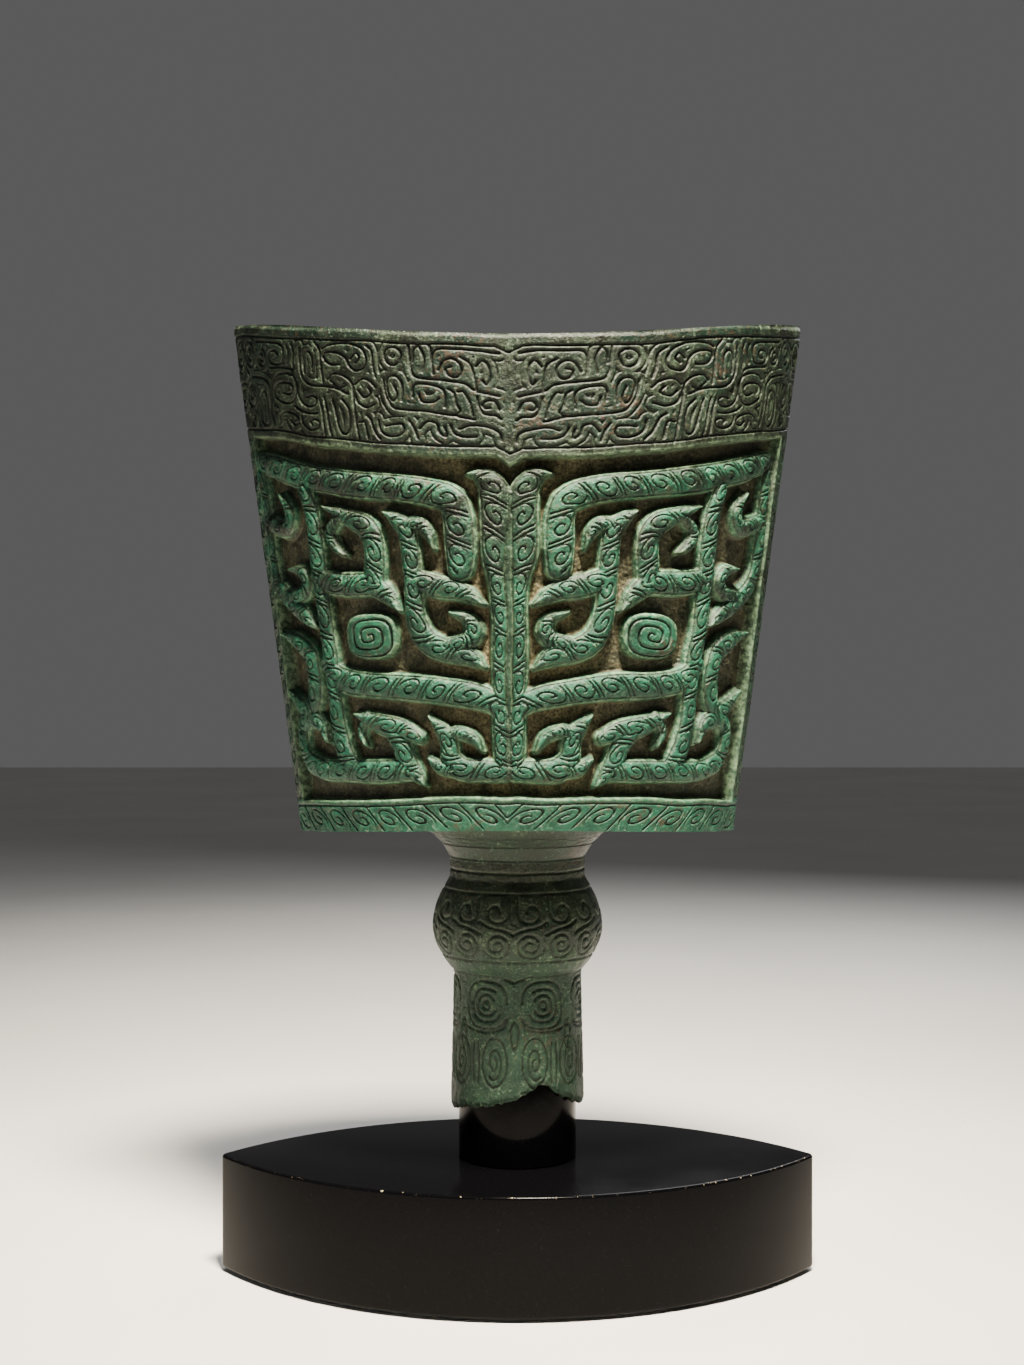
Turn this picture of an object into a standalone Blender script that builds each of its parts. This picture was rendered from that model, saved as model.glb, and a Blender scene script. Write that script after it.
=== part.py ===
# A clapperless bronze ritual bell that stands mouth up on its shank, on a lacquered display stand.
# Metres, +Z up, the front towards -Y, and the origin under the middle of the stand.

import math

import bmesh
import bpy
from mathutils import Vector

MM = 0.001
GAP = 0.3 * MM

# Stand
PLINTH_HALF_LENGTH = 168 * MM
PLINTH_HALF_DEPTH = 86 * MM
PLINTH_TIP_RADIUS = 5 * MM
PLINTH_TOP = 66 * MM
PLINTH_EDGE = 1.5 * MM
BAIZE_THICKNESS = 2 * MM
BAIZE_INSET = 4 * MM
POST_RADIUS = 33.3 * MM
POST_SHOULDER = 118 * MM
SPIGOT_RADIUS = 25 * MM
INSERT_RADIUS = 8 * MM
INSERT_LENGTH = 34 * MM
BOLT_RADIUS = 5 * MM
BOLT_HEAD_RADIUS = 9 * MM
BOLT_HEAD_HEIGHT = 6.5 * MM
BOLT_REACH = 26 * MM
WASHER_RADIUS = 12 * MM
WASHER_THICKNESS = 2.5 * MM
COUNTERBORE_RADIUS = 14 * MM
COUNTERBORE_DEPTH = 16 * MM
DOWEL_RADIUS = 4 * MM
DOWEL_HALF_LENGTH = 14 * MM
DOWEL_OFFSET = 22 * MM
POST_CHAMFER = 1 * MM

# Felt lining between the post and the bell
SLEEVE_WALL = 4 * MM
SEAT_THICKNESS = 5 * MM

# Bell shank, heights above the surface that the stand rests on
SHANK_FOOT_RADIUS = 37.8 * MM
SHANK_WAIST_RADIUS = 36.3 * MM
SHANK_FOOT = 105 * MM
RING_BOTTOM = 171 * MM
RING_MIDDLE = 197 * MM
RING_TOP = 225 * MM
RING_RADIUS = 48.3 * MM
RING_FULLNESS = 1.15
NECK_RADIUS = 38.4 * MM
BORE_FOOT_RADIUS = 34.3 * MM
BORE_TOP_RADIUS = 30.5 * MM
SHANK_JOIN = 235 * MM
SEAT_LEDGE = 246 * MM
FLARE_TOP = 250 * MM
FLARE_RADIUS = 49.5 * MM
FLARE_MIDDLE = (43.5 * MM, 244 * MM)
FLARE_END = (40 * MM, 239 * MM)
THROAT_RADIUS = 20 * MM

# Bell chamber: a lens of two arcs that widens from shoulder to rim, both edges bowed in height
SHOULDER_HALF_WIDTH = 123.6 * MM
SHOULDER_HALF_DEPTH = 84 * MM
RIM_HALF_WIDTH = 162.4 * MM
RIM_HALF_DEPTH = 107.5 * MM
SHOULDER_HEIGHT = 256.9 * MM
SHOULDER_BOW = -6.4 * MM
RIM_HEIGHT = 512.5 * MM
RIM_BOW = 24.5 * MM
WALL = 15 * MM
FLOOR_RISE = 0.04
RIM_ROUNDING = 1.5 * MM
RIM_BAND = 62.7 * MM
RIM_BAND_POINT = 4 * MM
SHOULDER_BAND = 17.4 * MM
SIDE_BORDER = 12 * MM
# Border lines cut along the rim band: (distance below the rim, share of the band's point that they follow)
BAND_LINES = [(6.4 * MM, 0), (58.1 * MM, 0.7)]
LINE_HALF_WIDTH = 1 * MM
LINE_DEPTH = 1.2 * MM
LINE_REACH = 0.985
FIELD_SINK = 7.5 * MM

# Relief ribbons of the mask: the crown keeps a share of the width, and the sides lean out to a root
# below the ground.
RIBBON_ROOT = 9.5 * MM
RIBBON_LEAN = 2.4 * MM
CROWN = 0.95

# One half of the animal mask: each ribbon runs through points (along the wall from the middle, height,
# half width) in millimetres.
HALF_MASK = {
    "keel": [
        (19, 441.5, 1), (12.5, 439, 4), (7.6, 430, 7.8), (6.8, 407, 7), (4.6, 388, 5), (4.2, 350, 4.4),
        (3.4, 284, 3.8),
    ],
    "brow": [
        (174, 457, 2), (138, 450, 5), (106, 443, 6), (56, 436, 6), (34, 433, 6), (24, 423, 6), (23, 393, 6),
    ],
    "pillar": [
        (125, 441, 2.5), (116, 415, 5.5), (111, 379, 5.5), (104, 334, 5), (99, 304, 5.5), (93, 290, 5),
    ],
    "inner_stem": [
        (65, 423, 0.7), (53, 415, 4.5), (50, 404, 5), (48, 377, 5), (43, 359, 5), (32, 352, 5), (13, 343, 1),
    ],
    "inner_curl": [(53, 415, 3), (45, 416, 2.6), (39, 412, 2.2), (36, 404, 1)],
    "inner_branch": [(48, 387, 5), (34, 385, 5), (23, 382, 4), (13, 375, 1)],
    "inner_hook": [(31, 353, 3.5), (19, 356, 3.2), (17, 363, 3), (27, 370, 1)],
    "outer_stem": [(107, 428, 0.8), (90, 422, 3.7), (77, 416, 5), (72, 403, 6), (73, 386, 5)],
    "outer_bar": [(72, 387, 5.5), (90, 387, 5.5), (111, 390, 5.5)],
    "outer_spur": [(74, 387, 5), (65, 381, 4), (57, 373, 0.8)],
    "outer_curl": [(95, 422, 2.2), (103, 415, 2.4), (100, 408, 2), (93, 404, 0.8)],
    "jaw": [(106, 342, 5), (96, 336, 5.5), (77, 333, 6), (32, 330, 6), (4, 321, 4)],
    "fang": [(3, 289, 4.5), (20, 289, 5), (29, 296, 4.5), (31, 307, 4), (39, 316, 0.7)],
    "fang_curl": [(31, 304, 2.8), (24, 308, 2.5), (17, 305, 2), (14, 299, 0.8)],
    "fang_lobe": [(26, 290, 3.5), (39, 292, 1.5)],
    "beak": [(87, 317, 0.8), (71, 312, 4.5), (57, 309, 5), (46, 305, 2.5)],
    "beak_neck": [(64, 311, 5), (56, 301, 5), (52, 290, 4.5), (43, 281, 0.8)],
    "beak_bar": [(52, 289, 4.5), (73, 287, 5), (115, 287, 5), (131, 290, 5)],
    "beak_curl": [(79, 315, 2.2), (83, 308, 2), (79, 300, 0.8)],
    "side_stem": [(170, 451, 3.5), (167, 414, 5), (162, 393, 5), (147, 381, 5), (117, 366, 1)],
    "side_prong": [(147, 438, 0.8), (139, 426, 3.5), (148, 420, 3.5), (166, 424, 4)],
    "side_hook": [(141, 396, 0.8), (129, 395, 2.8), (125, 389, 3), (131, 383, 3), (148, 381, 3.5)],
    "side_crescent": [
        (156, 361, 1), (137, 357, 4.5), (124, 348, 5.5), (121, 330, 5.5), (130, 319, 4.5), (151, 329, 1),
    ],
    "side_foot": [
        (111, 302, 0.8), (116, 311, 3.5), (127, 315, 4), (137, 310, 4.5), (137, 300, 4.5), (130, 289, 5),
    ],
}
# On the front the keel stands a little left of the middle, and the rest of the left half further out
# than the right. The change from the one to the other takes a run.
KEEL_DRIFT = 4.6 * MM
LEFT_DRIFT = 8.6 * MM
DRIFT_START = 8 * MM
DRIFT_RUN = 16 * MM
EYE_ALONG = 75 * MM
EYE_HEIGHT = 359 * MM
EYE_HALF_WIDTH = 17.5 * MM
EYE_HALF_HEIGHT = 12 * MM
EYE_SQUARENESS = 0.7
# The eye's dome, from its root to its flat top: (share of the size, depth below the bands)
EYE_DOME = [(1.12, RIBBON_ROOT), (1, 2.4 * MM), (0.7, 0.4 * MM)]

# The broken foot of the shank: (direction in degrees, height in millimetres), the front at 270
FRACTURE = [
    (0, 96), (20, 98), (45, 103), (70, 106), (90, 101), (110, 99), (135, 104), (160, 96), (180, 93),
    (210, 97), (240, 101), (265, 104), (293, 113), (306, 107), (325, 102), (345, 97), (360, 96),
]
# Room for the cutters to pass right through what they cut, and the ring that the break's cutter spans
OVERSHOOT = 5 * MM
BREAK_INNER_RADIUS = 20 * MM
BREAK_OUTER_RADIUS = 60 * MM
BREAK_ROUGH_FOOT = 80 * MM

ARC_STEPS = 22
FIELD_STEPS = 9
TURN_STEPS = 44
POST_STEPS = 32
SMALL_STEPS = 20
EYE_STEPS = 12
BREAK_STEPS = 57
RING_STEPS = 6

for leftover in list(bpy.data.objects):
    bpy.data.objects.remove(leftover, do_unlink=True)

parts = bpy.data.collections.new("ritual_bell")
helpers = bpy.data.collections.new("ritual_bell_cutters")
bpy.context.scene.collection.children.link(parts)
bpy.context.scene.collection.children.link(helpers)


def lerp(first, last, share):
    return first + (last - first) * share


def make_material(name, colour, roughness, metallic):
    material = bpy.data.materials.new(name)
    material.use_nodes = True
    shader = material.node_tree.nodes["Principled BSDF"]
    shader.inputs["Base Color"].default_value = (*colour, 1)
    shader.inputs["Roughness"].default_value = roughness
    shader.inputs["Metallic"].default_value = metallic
    return material


def add_object(name, mesh, material=None):
    """A part when it has a material, otherwise a helper that is never rendered."""
    obj = bpy.data.objects.new(name, mesh)
    if material:
        parts.objects.link(obj)
        mesh.materials.append(material)
    else:
        helpers.objects.link(obj)
        obj.hide_render = True
        obj.display_type = "WIRE"
    return obj


def finished_mesh(name, bm):
    bmesh.ops.recalc_face_normals(bm, faces=bm.faces)
    mesh = bpy.data.meshes.new(name)
    bm.to_mesh(mesh)
    bm.free()
    return mesh


def shade(obj, angle=math.radians(35)):
    obj.data.shade_smooth()
    obj.data.set_sharp_from_angle(angle=angle)


def cylinder(name, radius, bottom, top, material=None, steps=TURN_STEPS, place=(0, 0)):
    bm = bmesh.new()
    bmesh.ops.create_cone(
        bm, cap_ends=True, segments=steps, radius1=radius, radius2=radius, depth=top - bottom
    )
    obj = add_object(name, finished_mesh(name, bm), material)
    obj.location = (*place, (bottom + top) / 2)
    return obj


def turned(name, profile, material=None, closed=True, steps=TURN_STEPS):
    """Spins a profile of (radius, height) about Z. It runs down the outer side, then up the inner one."""
    bm = bmesh.new()
    corners = [bm.verts.new((radius, 0, height)) for radius, height in profile]
    ends = zip(corners, corners[1:] + corners[:1]) if closed else zip(corners, corners[1:])
    for first, second in ends:
        bm.edges.new((first, second))
    mesh = bpy.data.meshes.new(name)
    bm.to_mesh(mesh)
    bm.free()
    obj = add_object(name, mesh, material)
    screw = obj.modifiers.new("spin", "SCREW")
    screw.steps = steps
    screw.render_steps = steps
    screw.use_merge_vertices = True
    screw.merge_threshold = 0.00001
    screw.use_normal_calculate = False
    return obj


def boolean(obj, operation, other, solver="EXACT"):
    modifier = obj.modifiers.new(operation.lower(), "BOOLEAN")
    modifier.operation = operation
    modifier.solver = solver
    if isinstance(other, bpy.types.Collection):
        modifier.operand_type = "COLLECTION"
        modifier.collection = other
    else:
        modifier.object = other


def bevel(obj, width, segments=2):
    modifier = obj.modifiers.new("rounded_edges", "BEVEL")
    modifier.width = width
    modifier.segments = segments
    modifier.limit_method = "ANGLE"
    modifier.angle_limit = math.radians(60)


def loft(name, rows, material=None):
    """Skins closed rows of points that all have the same count, and spans both ends from side to side."""
    bm = bmesh.new()
    rings = [[bm.verts.new(point) for point in row] for row in rows]
    count = len(rings[0])
    for lower, upper in zip(rings, rings[1:]):
        for i in range(count):
            j = (i + 1) % count
            bm.faces.new((lower[i], lower[j], upper[j], upper[i]))
    for ring in (rings[0], rings[-1]):
        bm.faces.new((ring[0], ring[1], ring[-1]))
        for i in range(1, count // 2 - 1):
            bm.faces.new((ring[i], ring[i + 1], ring[count - i - 1], ring[count - i]))
        bm.faces.new((ring[count // 2 - 1], ring[count // 2], ring[count // 2 + 1]))
    return add_object(name, finished_mesh(name, bm), material)


# Stand


def lens_outline(inset):
    """The plinth's plan: two arcs that meet in small round tips, drawn inwards by the inset."""
    tip = PLINTH_TIP_RADIUS
    reach = PLINTH_HALF_LENGTH - tip
    radius = (reach**2 + PLINTH_HALF_DEPTH**2 - tip**2) / (2 * (PLINTH_HALF_DEPTH - tip))
    centre = radius - PLINTH_HALF_DEPTH
    swing = math.asin(reach / (radius - tip))
    points = []
    for middle, offset in ((-math.pi / 2, centre), (math.pi / 2, -centre)):
        for step in range(ARC_STEPS + 1):
            angle = middle + lerp(-swing, swing, step / ARC_STEPS)
            points.append(
                ((radius - inset) * math.cos(angle), offset + (radius - inset) * math.sin(angle))
            )
        side = math.copysign(1, -middle)
        rest = math.pi / 2 - swing
        for step in range(1, 4):
            angle = lerp(-rest, rest, step / 4) + (0 if side > 0 else math.pi)
            points.append(
                (side * reach + (tip - inset) * math.cos(angle), (tip - inset) * math.sin(angle))
            )
    return points


def slab(name, outline, bottom, top, material):
    """A flat outline drawn as a filled curve and given its thickness."""
    curve = bpy.data.curves.new(name, "CURVE")
    curve.dimensions = "2D"
    curve.fill_mode = "BOTH"
    curve.extrude = (top - bottom) / 2
    spline = curve.splines.new("POLY")
    spline.points.add(len(outline) - 1)
    for point, (x, y) in zip(spline.points, outline):
        point.co = (x, y, 0, 1)
    spline.use_cyclic_u = True
    drawn = bpy.data.objects.new(name + "_outline", curve)
    helpers.objects.link(drawn)
    bpy.context.view_layer.update()
    mesh = bpy.data.meshes.new_from_object(drawn.evaluated_get(bpy.context.evaluated_depsgraph_get()))
    bpy.data.objects.remove(drawn, do_unlink=True)
    bm = bmesh.new()
    bm.from_mesh(mesh)
    bmesh.ops.remove_doubles(bm, verts=bm.verts, dist=0.00001)
    obj = add_object(name, finished_mesh(name, bm), material)
    obj.location.z = (bottom + top) / 2
    return obj


def make_stand():
    lacquer = make_material("black_lacquer", (0.006, 0.006, 0.007), 0.18, 0)
    steel = make_material("zinc_plated_steel", (0.55, 0.56, 0.57), 0.35, 1)
    brass = make_material("turned_brass", (0.72, 0.52, 0.22), 0.3, 1)
    beech = make_material("beech_dowel", (0.62, 0.43, 0.26), 0.6, 0)
    baize = make_material("black_baize", (0.012, 0.012, 0.013), 0.95, 0)

    slab("baize_pad", lens_outline(BAIZE_INSET), 0, BAIZE_THICKNESS, baize)

    plinth_bottom = BAIZE_THICKNESS + GAP
    bore_top = plinth_bottom + COUNTERBORE_DEPTH
    plinth = slab("plinth", lens_outline(0), plinth_bottom, PLINTH_TOP, lacquer)
    shade(plinth)
    bevel(plinth, PLINTH_EDGE)
    counterbore = cylinder("bolt_counterbore", COUNTERBORE_RADIUS, -OVERSHOOT, bore_top)
    bolt_way = cylinder("bolt_way", BOLT_RADIUS + 2 * GAP, 0, PLINTH_TOP + OVERSHOOT, steps=SMALL_STEPS)
    boolean(plinth, "DIFFERENCE", counterbore, "MANIFOLD")
    boolean(plinth, "DIFFERENCE", bolt_way, "MANIFOLD")

    post_bottom = PLINTH_TOP + GAP
    spigot_top = SEAT_LEDGE - SEAT_THICKNESS - 2 * GAP
    post = turned(
        "post",
        [
            (0, spigot_top),
            (SPIGOT_RADIUS - POST_CHAMFER, spigot_top),
            (SPIGOT_RADIUS, spigot_top - POST_CHAMFER),
            (SPIGOT_RADIUS, POST_SHOULDER),
            (POST_RADIUS - POST_CHAMFER, POST_SHOULDER),
            (POST_RADIUS, POST_SHOULDER - POST_CHAMFER),
            (POST_RADIUS, post_bottom + POST_CHAMFER / 2),
            (POST_RADIUS - POST_CHAMFER / 2, post_bottom),
            (0, post_bottom),
        ],
        lacquer,
        closed=False,
        steps=POST_STEPS,
    )
    shade(post)
    insert_top = post_bottom + INSERT_LENGTH
    insert_way = cylinder(
        "insert_way", INSERT_RADIUS + GAP, post_bottom - OVERSHOOT, insert_top + GAP, steps=SMALL_STEPS
    )
    boolean(post, "DIFFERENCE", insert_way)

    turned(
        "threaded_insert",
        [
            (INSERT_RADIUS, insert_top),
            (INSERT_RADIUS, post_bottom + GAP),
            (BOLT_RADIUS + GAP, post_bottom + GAP),
            (BOLT_RADIUS + GAP, insert_top),
        ],
        brass,
        steps=SMALL_STEPS,
    )
    washer_bottom = bore_top - WASHER_THICKNESS - GAP
    turned(
        "bolt_washer",
        [
            (WASHER_RADIUS, bore_top - GAP),
            (WASHER_RADIUS, washer_bottom),
            (BOLT_RADIUS + GAP, washer_bottom),
            (BOLT_RADIUS + GAP, bore_top - GAP),
        ],
        steel,
        steps=SMALL_STEPS,
    )
    head_top = washer_bottom - GAP
    bolt = cylinder("post_bolt", BOLT_HEAD_RADIUS, head_top - BOLT_HEAD_HEIGHT, head_top, steel, steps=6)
    bolt_top = post_bottom + BOLT_REACH
    shank = cylinder("bolt_shank", BOLT_RADIUS, head_top - BOLT_HEAD_HEIGHT / 2, bolt_top, steps=SMALL_STEPS)
    boolean(bolt, "UNION", shank)

    for name, side in (("dowel_left", -1), ("dowel_right", 1)):
        place = (side * DOWEL_OFFSET, 0)
        low = PLINTH_TOP - DOWEL_HALF_LENGTH
        high = PLINTH_TOP + DOWEL_HALF_LENGTH
        cylinder(name, DOWEL_RADIUS, low, high, beech, steps=SMALL_STEPS, place=place)
        radius = DOWEL_RADIUS + GAP
        way = cylinder(name + "_way", radius, low - GAP, high + GAP, steps=SMALL_STEPS, place=place)
        boolean(plinth, "DIFFERENCE", way, "MANIFOLD")
        boolean(post, "DIFFERENCE", way)


def make_lining():
    felt = make_material("grey_felt", (0.16, 0.16, 0.17), 0.95, 0)
    seat_top = SEAT_LEDGE - GAP
    seat_bottom = seat_top - SEAT_THICKNESS
    inner = SPIGOT_RADIUS + GAP
    sleeve_bottom = POST_SHOULDER + GAP
    turned(
        "felt_sleeve",
        [
            (inner + SLEEVE_WALL, seat_bottom - GAP),
            (inner + SLEEVE_WALL, sleeve_bottom),
            (inner, sleeve_bottom),
            (inner, seat_bottom - GAP),
        ],
        felt,
        steps=POST_STEPS,
    )
    cylinder("felt_seat_disc", inner + SLEEVE_WALL - MM, seat_bottom, seat_top, felt, steps=POST_STEPS)


# Bell


def shoulder_height(across):
    return SHOULDER_HEIGHT + SHOULDER_BOW * across**2


def rim_height(across):
    return RIM_HEIGHT + RIM_BOW * across**2


def wall_arc(rise):
    """Radius of the wall's arc at a share of the height, and how far behind the middle its centre lies."""
    half_width = lerp(SHOULDER_HALF_WIDTH, RIM_HALF_WIDTH, rise)
    half_depth = lerp(SHOULDER_HALF_DEPTH, RIM_HALF_DEPTH, rise)
    radius = (half_width**2 + half_depth**2) / (2 * half_depth)
    return radius, radius - half_depth


def lens_row(rise, inset, drop=0):
    """One level of the chamber: the front arc, then the back one, drawn inwards by the inset."""
    radius, centre = wall_arc(rise)
    radius -= inset
    swing = math.acos(centre / radius)
    row = []
    for side in (-1, 1):
        for step in range(ARC_STEPS):
            angle = -side * lerp(-swing, swing, step / ARC_STEPS)
            across = math.sin(angle) / math.sin(swing)
            height = lerp(shoulder_height(across), rim_height(across), rise) - drop
            row.append((radius * math.sin(angle), side * (radius * math.cos(angle) - centre), height))
    return row


def wall_place(along, height):
    """Where a distance along the wall lies: the arc there, the angle, and the share of the half width."""
    across = 0
    for _ in range(6):
        low = shoulder_height(across)
        rise = (height - low) / (rim_height(across) - low)
        radius, centre = wall_arc(rise)
        angle = along / radius
        across = math.sin(angle) * radius / lerp(SHOULDER_HALF_WIDTH, RIM_HALF_WIDTH, rise)
    return radius, centre, angle, across


def wall_point(along, height, sunk):
    """A point on the front wall: along its curve from the middle line, at a height, sunk below the bands."""
    radius, centre, angle, _ = wall_place(along, height)
    reach = radius - sunk
    return Vector((reach * math.sin(angle), centre - reach * math.cos(angle), height))


def edge_distance(height):
    """How far along the wall its side edge lies from the middle line."""
    low = shoulder_height(1)
    radius, centre = wall_arc((height - low) / (rim_height(1) - low))
    return radius * math.acos(centre / radius)


def drifted(along, left, back):
    """Where a mask point stands along the wall, with the front's uneven halves."""
    outward = min(1, max(0, (along - DRIFT_START) / DRIFT_RUN))
    if back:
        return along
    if left:
        return along + lerp(KEEL_DRIFT, LEFT_DRIFT, outward)
    return along - lerp(KEEL_DRIFT, 0, outward)


def placed(points, left, back):
    """Front right points, turned to another quarter of the bell."""
    return [(-x if left else x, -y if back else y, z) for x, y, z in points]


def make_field(name, back):
    """The sunk ground of the mask, between the bands and the side borders."""
    rows = []
    for step in range(-FIELD_STEPS, FIELD_STEPS + 1):
        share = step / FIELD_STEPS
        top = RIM_HEIGHT - RIM_BAND
        bottom = SHOULDER_HEIGHT + SHOULDER_BAND
        top_across = wall_place(share * (edge_distance(top) - SIDE_BORDER), top)[3]
        bottom_across = wall_place(share * (edge_distance(bottom) - SIDE_BORDER), bottom)[3]
        top = rim_height(top_across) - RIM_BAND - (RIM_BAND_POINT if step == 0 else 0)
        bottom = shoulder_height(bottom_across) + SHOULDER_BAND
        section = []
        corners = [(bottom, -OVERSHOOT), (bottom, FIELD_SINK), (top, FIELD_SINK), (top, -OVERSHOOT)]
        for height, sunk in corners:
            section.append(wall_point(share * (edge_distance(height) - SIDE_BORDER), height, sunk))
        rows.append(placed(section, False, back))
    return loft(name, rows)


def make_line(name, below_rim, point, back):
    """A border line of the rim band: a groove with leaning sides that dips at the middle."""
    rows = []
    for step in range(-FIELD_STEPS, FIELD_STEPS + 1):
        share = LINE_REACH * step / FIELD_STEPS
        level = RIM_HEIGHT - below_rim
        across = wall_place(share * edge_distance(level), level)[3]
        level = rim_height(across) - below_rim - (RIM_BAND_POINT * point if step == 0 else 0)
        section = []
        for side, sunk in ((-2, -OVERSHOOT), (-0.5, LINE_DEPTH), (0.5, LINE_DEPTH), (2, -OVERSHOOT)):
            height = level + side * LINE_HALF_WIDTH
            section.append(wall_point(share * edge_distance(height), height, sunk))
        rows.append(placed(section, False, back))
    return loft(name, rows)


def make_ribbon(name, path, left, back):
    """A bar with leaning sides that follows a path on the wall, rooted below the sunk ground."""
    spots = [Vector((drifted(along * MM, left, back), height * MM)) for along, height, _ in path]
    rows = []
    for i, spot in enumerate(spots):
        ahead = spots[min(i + 1, len(spots) - 1)] - spots[max(i - 1, 0)]
        sideways = Vector((-ahead.y, ahead.x)).normalized()
        crown = path[i][2] * MM * CROWN
        root = path[i][2] * MM + RIBBON_LEAN
        section = []
        for reach, sunk in ((-root, RIBBON_ROOT), (-crown, 0), (crown, 0), (root, RIBBON_ROOT)):
            at = spot + sideways * reach
            section.append(wall_point(at.x, at.y, sunk))
        rows.append(placed(section, left, back))
    return loft(name, rows)


def make_eye(name, left, back):
    """The eye boss: a rounded rectangle that domes up from the ground."""
    rows = []
    for size, sunk in EYE_DOME:
        row = []
        for step in range(EYE_STEPS):
            angle = math.tau * step / EYE_STEPS
            across = math.copysign(abs(math.cos(angle)) ** EYE_SQUARENESS, math.cos(angle))
            up = math.copysign(abs(math.sin(angle)) ** EYE_SQUARENESS, math.sin(angle))
            along = drifted(EYE_ALONG + EYE_HALF_WIDTH * size * across, left, back)
            row.append(wall_point(along, EYE_HEIGHT + EYE_HALF_HEIGHT * size * up, sunk))
        rows.append(placed(row, left, back))
    return loft(name, rows)


def make_chamber(bronze):
    rows = [
        lens_row(0, 0),
        lens_row(0.5, 0),
        lens_row(1, 0, RIM_ROUNDING),
        lens_row(1, RIM_ROUNDING),
        lens_row(1, WALL - RIM_ROUNDING),
        lens_row(1, WALL, RIM_ROUNDING),
        lens_row(0.5, WALL),
        lens_row(FLOOR_RISE, WALL),
    ]
    chamber = loft("bell_chamber", rows, bronze)
    neck = turned(
        "neck_flare",
        [
            (0, FLARE_TOP + 2 * OVERSHOOT),
            (FLARE_RADIUS, FLARE_TOP + 2 * OVERSHOOT),
            (FLARE_RADIUS, FLARE_TOP),
            FLARE_MIDDLE,
            FLARE_END,
            (NECK_RADIUS, SHANK_JOIN + GAP / 2),
            (0, SHANK_JOIN + GAP / 2),
        ],
        closed=False,
    )
    boolean(chamber, "UNION", neck)
    throat = cylinder("throat", THROAT_RADIUS, SHANK_JOIN, SHOULDER_HEIGHT + 2 * WALL)
    boolean(chamber, "DIFFERENCE", throat)
    seat_recess = cylinder("seat_recess", BORE_TOP_RADIUS, SHANK_JOIN - OVERSHOOT, SEAT_LEDGE)
    boolean(chamber, "DIFFERENCE", seat_recess)

    relief = bpy.data.collections.new("mask_relief")
    helpers.children.link(relief)
    for back in (False, True):
        face = "back" if back else "front"
        boolean(chamber, "DIFFERENCE", make_field(face + "_field", back), "MANIFOLD")
        for number, (below_rim, point) in enumerate(BAND_LINES, 1):
            line = make_line(f"{face}_band_line_{number}", below_rim, point, back)
            boolean(chamber, "DIFFERENCE", line, "MANIFOLD")
        raised = []
        for left in (False, True):
            half = f"{face}_{'left' if left else 'right'}"
            raised.append(make_eye(half + "_eye", left, back))
            for name, path in HALF_MASK.items():
                raised.append(make_ribbon(f"{half}_{name}", path, left, back))
        for ribbon in raised:
            helpers.objects.unlink(ribbon)
            relief.objects.link(ribbon)
    boolean(chamber, "UNION", relief, "MANIFOLD")
    shade(chamber)


def fracture_height(degrees):
    for (first, low), (last, high) in zip(FRACTURE, FRACTURE[1:]):
        if first <= degrees <= last:
            return lerp(low, high, (degrees - first) / (last - first)) * MM


def make_shank(bronze):
    top = SHANK_JOIN - GAP / 2
    # Each half of the ring falls away from its widest level by a power of the squared share of its height.
    ring = []
    for end, foot in ((RING_TOP, NECK_RADIUS), (RING_BOTTOM, SHANK_WAIST_RADIUS)):
        half = []
        for step in range(1, RING_STEPS + 1):
            share = step / RING_STEPS
            swell = (1 - share**2) ** RING_FULLNESS
            half.append((lerp(foot, RING_RADIUS, swell), lerp(RING_MIDDLE, end, share)))
        ring.append(half)
    shank = turned(
        "bell_shank",
        [(NECK_RADIUS, top)]
        + ring[0][::-1]
        + [(RING_RADIUS, RING_MIDDLE)]
        + ring[1]
        + [(SHANK_FOOT_RADIUS, SHANK_FOOT), (SHANK_FOOT_RADIUS, BREAK_ROUGH_FOOT)]
        + [(BORE_FOOT_RADIUS, BREAK_ROUGH_FOOT), (BORE_TOP_RADIUS, top)],
        bronze,
    )
    shade(shank)
    # The cutter is a ring whose upper face rises and falls as the break does.
    rows = []
    for inner, sunk in ((False, True), (False, False), (True, False), (True, True)):
        radius = BREAK_INNER_RADIUS if inner else BREAK_OUTER_RADIUS
        row = []
        for step in range(BREAK_STEPS):
            degrees = 360 * (step + 0.3) / BREAK_STEPS
            angle = math.radians(degrees)
            height = BREAK_ROUGH_FOOT - OVERSHOOT if sunk else fracture_height(degrees)
            row.append((radius * math.cos(angle), radius * math.sin(angle), height))
        rows.append(row)
    bm = bmesh.new()
    rings = [[bm.verts.new(point) for point in row] for row in rows]
    for lower, upper in zip(rings, rings[1:] + rings[:1]):
        for i in range(len(lower)):
            j = (i + 1) % len(lower)
            bm.faces.new((lower[i], lower[j], upper[j], upper[i]))
    boolean(shank, "DIFFERENCE", add_object("break_cutter", finished_mesh("break_cutter", bm)))


make_stand()
make_lining()
patina = make_material("patinated_bronze", (0.07, 0.16, 0.12), 0.6, 0.35)
make_chamber(patina)
make_shank(patina)
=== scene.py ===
import math

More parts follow.
